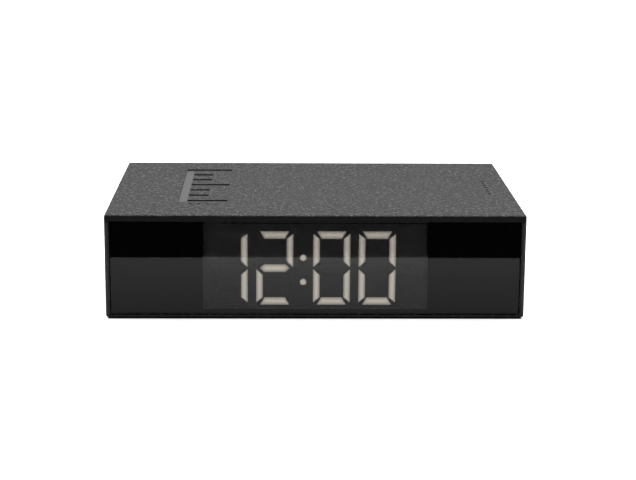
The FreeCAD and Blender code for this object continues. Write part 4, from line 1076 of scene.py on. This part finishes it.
class CLOCK_OT_marks(bpy.types.Operator):
    """Prints a plain symbol by each control on the rear panel, such as a bell, a plus and a minus"""
    bl_idname = "clock.marks"
    bl_label = "Print the control symbols"

    def execute(self, context):
        panel = corners("rear_panel")[1][1]
        level = middle("rear_panel")[2] - 5.6 * mm

        def disc(x, z, inner, outer, start=0.0, sweep=2 * np.pi, steps=48):
            t = np.linspace(start, start + sweep, steps)[:, None]
            r = np.array([inner, outer])[None, :] * mm
            y = np.full((steps, 2), panel)
            return np.stack([x + r * np.cos(t), y, z + r * np.sin(t)], -1)

        def bar(x, z, half_x, half_z):
            a = np.array([[-half_x, -half_z], [-half_x, half_z]]) * mm
            b = a * np.array([-1, 1])
            flat = np.stack([a, b])
            return np.stack([x + flat[..., 0], np.full((2, 2), panel), z + flat[..., 1]], -1)

        shapes = []
        x = middle("button_set")[0]
        shapes.append(disc(x, level, 0.75, 0.95))
        shapes += [bar(x, level + 0.25 * mm, 0.08, 0.3), bar(x + 0.2 * mm, level, 0.25, 0.08)]
        x = middle("button_alarm")[0]
        t = np.linspace(0, np.pi, 32)[:, None]
        r = np.array([0.0, 1.0])[None, :]
        dome = np.stack([x + 0.75 * mm * r * np.cos(t), np.full((32, 2), panel),
                         level - 0.1 * mm + 0.9 * mm * r * np.sin(t)], -1)
        shapes += [dome, bar(x, level - 0.25 * mm, 0.95, 0.12), disc(x, level - 0.6 * mm, 0.0, 0.2)]
        x = middle("button_down")[0]
        shapes.append(bar(x, level, 0.85, 0.14))
        x = middle("button_up")[0]
        shapes.append(bar(x, level, 0.85, 0.14))
        shapes += [bar(x, level + rise * mm, 0.14, 0.36) for rise in (0.5, -0.5)]
        x = middle("button_light")[0]
        shapes.append(disc(x, level, 0.0, 0.45))
        for i in range(8):
            turn = 2 * np.pi * i / 8
            cx = x + 0.78 * mm * math.cos(turn)
            cz = level + 0.78 * mm * math.sin(turn)
            shapes.append(disc(cx, cz, 0.0, 0.11, steps=16))
        x = middle("slide_switch_body")[0]
        shapes += [disc(x - 2.0 * mm, level, 0.45, 0.62), bar(x + 2.0 * mm, level, 0.09, 0.55)]
        thick = 0.03 * mm
        sheets = []
        for flat in shapes:
            raised = flat + np.array([0, thick, 0])
            sunk = flat - np.array([0, 0.01 * mm, 0])
            sheets.append(sheet(raised))
            sheets.append(sheet(sunk))
            sheets += [sheet(np.stack([sunk[:, k], raised[:, k]], 1)) for k in (0, -1)]
            sheets += [sheet(np.stack([sunk[k], raised[k]])) for k in (0, -1)]
        make_piece("control_symbols", sheets, ROOT, "knob_white", finish="mark_white")
        return {"FINISHED"}


class CLOCK_OT_cells(bpy.types.Operator):
    """Builds the battery cells and the springs behind them"""
    bl_idname = "clock.cells"
    bl_label = "Build the cells"

    def execute(self, context):
        look = context.scene.clock_hardware
        spring_low, spring_high = corners("battery_springs")
        springs = []
        for n, node in enumerate(CELLS):
            low, high = corners(node)
            radius = (high[2] - low[2]) / 2
            long = high[0] - low[0]
            facing = 1 if n % 2 == 0 else -1
            start = low[0] if facing > 0 else high[0]
            can = long - 1.0 * mm
            stations = [
                (0.0, 0.12 * mm), (radius - 1.9 * mm, 0.12 * mm), (radius - 1.7 * mm, 0.0),
                (radius - 0.75 * mm, 0.0), (radius - 0.55 * mm, 0.35 * mm), (radius - 0.12 * mm, 0.45 * mm),
                (radius - 0.12 * mm, 1.2 * mm), (radius, 1.35 * mm), (radius, can - 0.75 * mm),
                (radius - 0.1 * mm, can - 0.5 * mm), (radius - 0.15 * mm, can - 0.1 * mm),
                (radius - 0.7 * mm, can), (2.6 * mm, can - 0.1 * mm), (2.3 * mm, can - 0.25 * mm),
                (1.9 * mm, can - 0.2 * mm), (1.85 * mm, long - 0.15 * mm), (1.5 * mm, long), (0.0, long),
            ]
            centre = (start, (low[1] + high[1]) / 2, (low[2] + high[2]) / 2)
            made = turned(centre, (facing, 0, 0), rounded_profile(stations, 0.08 * mm, 4), 96)
            make_piece(node + "_sleeved", [made], ROOT, "cell_sleeve", [node])
            springs.append(self.spring(look, centre, -facing, spring_low, spring_high))
        make_piece("coil_springs", springs, ROOT, "contact_steel", ["battery_springs"])
        return {"FINISHED"}

    def spring(self, look, centre, way, low, high):
        """A coil from a cell's end to its contact. Its angle grows along it, its pitch closes at both ends,
        and its radius grows towards the contact."""
        wire = look.spring_wire
        end = high[0] if way > 0 else low[0]
        reach = abs(end - centre[0]) - 2 * wire
        s = np.linspace(0, 1, int(look.spring_turns * 36))
        turn = 2 * np.pi * look.spring_turns * s
        gap = 0.8 / look.spring_turns
        along = np.clip((s - gap) / (1 - 2 * gap), 0, 1)
        eased = along * along * (3 - 2 * along) * 0.35 + along * 0.65
        spread = wire * 2.05
        x = centre[0] + way * (wire + spread * np.clip(s / gap, 0, 1) * 0.5 + (reach - spread) * eased
                               + spread * np.clip((s - 1 + gap) / gap, 0, 1) * 0.5)
        big = (high[2] - low[2]) / 2 - wire
        radius = big * (0.62 + 0.38 * s)
        path = np.stack([x, centre[1] + radius * np.cos(turn), centre[2] + radius * np.sin(turn)], -1)
        return tube(path, wire, 10)


class CLOCK_OT_inside(bpy.types.Operator):
    """Builds the capacitors, crystal, sensor and buzzer on the main board"""
    bl_idname = "clock.inside"
    bl_label = "Build the board pieces"

    def execute(self, context):
        low, high = corners("capacitors")
        radius = (high[2] - low[2]) / 2
        long = high[1] - low[1]
        cans = []
        for x in (low[0] + radius, high[0] - radius):
            stations = [
                (0.0, 0.0), (radius - 0.5 * mm, 0.0), (radius - 0.1 * mm, 0.3 * mm),
                (radius - 0.1 * mm, 1.1 * mm), (radius - 0.45 * mm, 1.35 * mm), (radius - 0.1 * mm, 1.6 * mm),
                (radius, 2.0 * mm), (radius, long - 0.4 * mm), (radius - 0.4 * mm, long),
                (radius - 0.7 * mm, long), (radius - 0.8 * mm, long - 0.15 * mm), (0.0, long - 0.15 * mm),
            ]
            centre = (x, high[1], (low[2] + high[2]) / 2)
            cans.append(turned(centre, (0, -1, 0), rounded_profile(stations, 0.15 * mm)))
        make_piece("capacitor_cans", cans, ROOT, "capacitor_sleeve", ["capacitors"])
        for node, name in (("clock_crystal", "crystal_can"), ("tap_sensor", "sensor_can")):
            low, high = corners(node)
            r = (high[2] - low[2]) / 2
            long = high[0] - low[0]
            stations = [
                (0.0, 0.0), (r - 0.15 * mm, 0.0), (r - 0.15 * mm, 0.5 * mm), (r, 0.65 * mm),
                (r, long - 0.3 * mm), (r - 0.3 * mm, long), (0.0, long),
            ]
            centre = (low[0], (low[1] + high[1]) / 2, (low[2] + high[2]) / 2)
            made = turned(centre, (1, 0, 0), rounded_profile(stations, 0.12 * mm))
            make_piece(name, [made], ROOT, "can_metal", [node])
        low, high = corners("buzzer")
        r = (high[2] - low[2]) / 2
        long = high[1] - low[1]
        stations = [
            (0.0, 0.0), (r - 0.3 * mm, 0.0), (r, 0.3 * mm), (r, long - 0.5 * mm), (r - 0.5 * mm, long),
            (1.7 * mm, long), (1.6 * mm, long - 0.25 * mm), (1.0 * mm, long - 0.25 * mm),
            (1.0 * mm, long - 1.5 * mm), (0.0, long - 1.5 * mm),
        ]
        centre = ((low[0] + high[0]) / 2, low[1], (low[2] + high[2]) / 2)
        made = turned(centre, (0, 1, 0), rounded_profile(stations, 0.15 * mm), 80)
        make_piece("buzzer_can", [made], ROOT, "buzzer_black", ["buzzer"])
        return {"FINISHED"}


class CLOCK_OT_stage(bpy.types.Operator):
    """Sets the pale floor, the soft lights, the studio around them and the camera"""
    bl_idname = "clock.stage"
    bl_label = "Set the stage"

    def execute(self, context):
        look = context.scene.clock_stage
        self.floor(look)
        self.studio(look)
        self.light("overhead", (0.0, 0.25, 1.1), (0.0, 0.0, 0.0), (1.3, 1.0), look.overhead)
        for name, side, share in (("left", -1, look.left_share), ("right", 1, look.right_share)):
            self.light(name, (side * 0.9, 0.15, 0.3), (0.0, 0.0, 0.02), (0.6, 0.5), share * look.overhead)
        camera = bpy.data.cameras.new("camera")
        camera.lens = look.lens
        camera.sensor_width = 36.0
        camera.clip_start = 0.01
        seat = bpy.data.objects.new("camera", camera)
        context.scene.collection.objects.link(seat)
        forward = Vector((math.sin(look.turn) * math.cos(look.dip), math.cos(look.turn) * math.cos(look.dip),
                          -math.sin(look.dip)))
        right = Vector((math.cos(look.turn), -math.sin(look.turn), 0.0))
        up = right.cross(forward)
        right, up = (right * math.cos(look.roll) + up * math.sin(look.roll),
                     up * math.cos(look.roll) - right * math.sin(look.roll))
        turn = Matrix((right, up, -forward)).transposed().to_4x4()
        seat.matrix_world = Matrix.Translation(Vector(look.seat)) @ turn
        context.scene.camera = seat
        context.scene.view_settings.view_transform = "Standard"
        return {"FINISHED"}

    def floor(self, look):
        """A level sheet. To anything but the camera only the part of it near the clock is pale, as a small
        table in a dark room, with painted shade that darkens that part towards the clock's front. To the
        camera the floor under the clock is painted nearly black, a painted shadow in the gap under its edge.
        It isn't seen from below, and lets light through to the clock's underside."""
        u = np.linspace(-4.0, 4.0, 9)
        x, y = np.meshgrid(u, u, indexing="ij")
        points = np.stack([x, y, np.full_like(x, CAD_BOX[0][2])], -1)
        mesh = bpy.data.meshes.new("floor")
        mesh.from_pydata(points.reshape(-1, 3), [], sheet_quads(9, 9, False, 0).tolist())
        finish, tree, shader = new_finish(
            "Pale table", Roughness=0.9, Specular_IOR_Level=0.0, Emission_Strength=1.0)
        at = position(tree)
        edge = CAD_BOX[0][1] - look.apron
        near = remap(tree, at["Y"], edge - 0.4 * mm, edge)
        front = CAD_BOX[0][1]
        # Painted shade: in the clock's reflections the pale table darkens towards the clock's front, standing
        # in for the shadow the clock casts on it.
        fade = remap(tree, at["Y"], edge, front, look.bounce, 0.56 * look.bounce)
        fade = maths(tree, "MULTIPLY", fade, remap(tree, at["Y"], front - 9 * mm, front - 3 * mm, 1.0, 0.3))
        seen = add(tree, "ShaderNodeLightPath").outputs["Is Camera Ray"]
        beside = maths(tree, "SUBTRACT", maths(tree, "ABSOLUTE", at["X"]), CAD_BOX[1][0])
        before = maths(tree, "SUBTRACT", maths(tree, "ABSOLUTE", at["Y"]), CAD_BOX[1][1])
        # Painted shadow: to the camera the floor under the clock's footprint is nearly black, so the gap under
        # the clock's edge reads as a dark shadow; outside it the floor glows evenly white.
        clear = remap(tree, maths(tree, "MAXIMUM", beside, before), -0.8 * mm, -0.2 * mm)
        shown = blend_colour(tree, clear, (0.02, 0.02, 0.02, 1.0), (0.9, 0.9, 0.9, 1.0))
        feed(tree, shader, "Base Color", blend_colour(tree, seen, (0.02, 0.02, 0.02, 1.0), shown))
        glow = add(tree, "ShaderNodeMix", {0: seen, 2: maths(tree, "MULTIPLY", near, fade),
                                           3: maths(tree, "MULTIPLY", clear, 0.66)})
        feed(tree, shader, "Emission Color", glow.outputs[0])
        below = add(tree, "ShaderNodeNewGeometry").outputs["Backfacing"]
        under = remap(tree, maths(tree, "MAXIMUM", beside, before), -3.2 * mm, -3.0 * mm, 1.0, 0.0)
        through = maths(tree, "MULTIPLY", under, maths(tree, "SUBTRACT", 1.0, seen))
        clear_sheet = add(tree, "ShaderNodeBsdfTransparent").outputs[0]
        hidden = maths(tree, "MAXIMUM", below, through)
        gone = add(tree, "ShaderNodeMixShader", {0: hidden, 1: shader.outputs[0], 2: clear_sheet})
        end = next(node for node in tree.nodes if node.type == "OUTPUT_MATERIAL")
        tree.links.new(gone.outputs[0], end.inputs[0])
        mesh.materials.append(finish)
        floor = bpy.data.objects.new("floor", mesh)
        bpy.context.scene.collection.objects.link(floor)

    def studio(self, look):
        """The studio is bright behind the clock, dimmer overhead and dark in front. A glow from beneath serves
        the underside, and the camera itself sees plain white."""
        world = bpy.data.worlds.new("studio")
        world.use_nodes = True
        tree = world.node_tree
        tree.nodes.clear()
        way = add(tree, "ShaderNodeTexCoord").outputs["Generated"]
        at = add(tree, "ShaderNodeSeparateXYZ", {0: way}).outputs
        back = remap(tree, at["Y"], 0.1, 0.9, 0.02, look.rim, smooth=True)
        low_sky = remap(tree, at["Z"], 0.15, 0.6, 1.0, 0.25, smooth=True)
        beneath = remap(tree, at["Z"], -0.6, -0.3, 0.6, 0.0, smooth=True)
        lit = maths(tree, "ADD", maths(tree, "MULTIPLY", back, low_sky), beneath)
        seen = add(tree, "ShaderNodeLightPath").outputs["Is Camera Ray"]
        # The background's own colour is a 0.8 grey, which this strength brings up to white.
        white_strength = 1.25
        glow = maths(tree, "MAXIMUM", lit, maths(tree, "MULTIPLY", seen, white_strength))
        shade = add(tree, "ShaderNodeBackground", {"Strength": glow})
        end = add(tree, "ShaderNodeOutputWorld")
        tree.links.new(shade.outputs[0], end.inputs[0])
        bpy.context.scene.world = world

    def light(self, name, place, aim, size, power):
        data = bpy.data.lights.new(name, "AREA")
        data.shape = "RECTANGLE"
        data.size, data.size_y = size
        data.energy = power
        lamp = bpy.data.objects.new(name, data)
        bpy.context.scene.collection.objects.link(lamp)
        way = Vector(aim) - Vector(place)
        facing = way.to_track_quat("-Z", "Y").to_matrix().to_4x4()
        lamp.matrix_world = Matrix.Translation(Vector(place)) @ facing


class CLOCK_PT_sidebar(bpy.types.Panel):
    """Lists the clock's steps and sizes"""
    bl_label = "Clock"
    bl_idname = "CLOCK_PT_sidebar"
    bl_space_type = "VIEW_3D"
    bl_region_type = "UI"
    bl_category = "Clock"

    def draw(self, context):
        for step in STEPS:
            self.layout.operator(step.bl_idname)
        for group in GROUPS:
            box = self.layout.box()
            sizes = getattr(context.scene, group)
            for name in sizes.bl_rna.properties.keys():
                if name not in {"rna_type", "name"}:
                    box.prop(sizes, name)


GROUPS = {
    "clock_case": CaseFinish,
    "clock_display": DisplaySizes,
    "clock_hardware": HardwareSizes,
    "clock_stage": StageSettings,
}
STEPS = (
    CLOCK_OT_stage,
    CLOCK_OT_case,
    CLOCK_OT_digits,
    CLOCK_OT_feet,
    CLOCK_OT_screws,
    CLOCK_OT_buttons,
    CLOCK_OT_inlet,
    CLOCK_OT_marks,
    CLOCK_OT_cells,
    CLOCK_OT_inside,
)


def register():
    for name, group in GROUPS.items():
        bpy.utils.register_class(group)
        setattr(bpy.types.Scene, name, PointerProperty(type=group))
    for item in (*STEPS, CLOCK_PT_sidebar):
        bpy.utils.register_class(item)


def unregister():
    for item in (CLOCK_PT_sidebar, *reversed(STEPS)):
        bpy.utils.unregister_class(item)
    for name, group in GROUPS.items():
        delattr(bpy.types.Scene, name)
        bpy.utils.unregister_class(group)


def main():
    register()
    for step in STEPS:
        family, name = step.bl_idname.split(".")
        getattr(getattr(bpy.ops, family), name)()


if __name__ == "__main__":
    main()
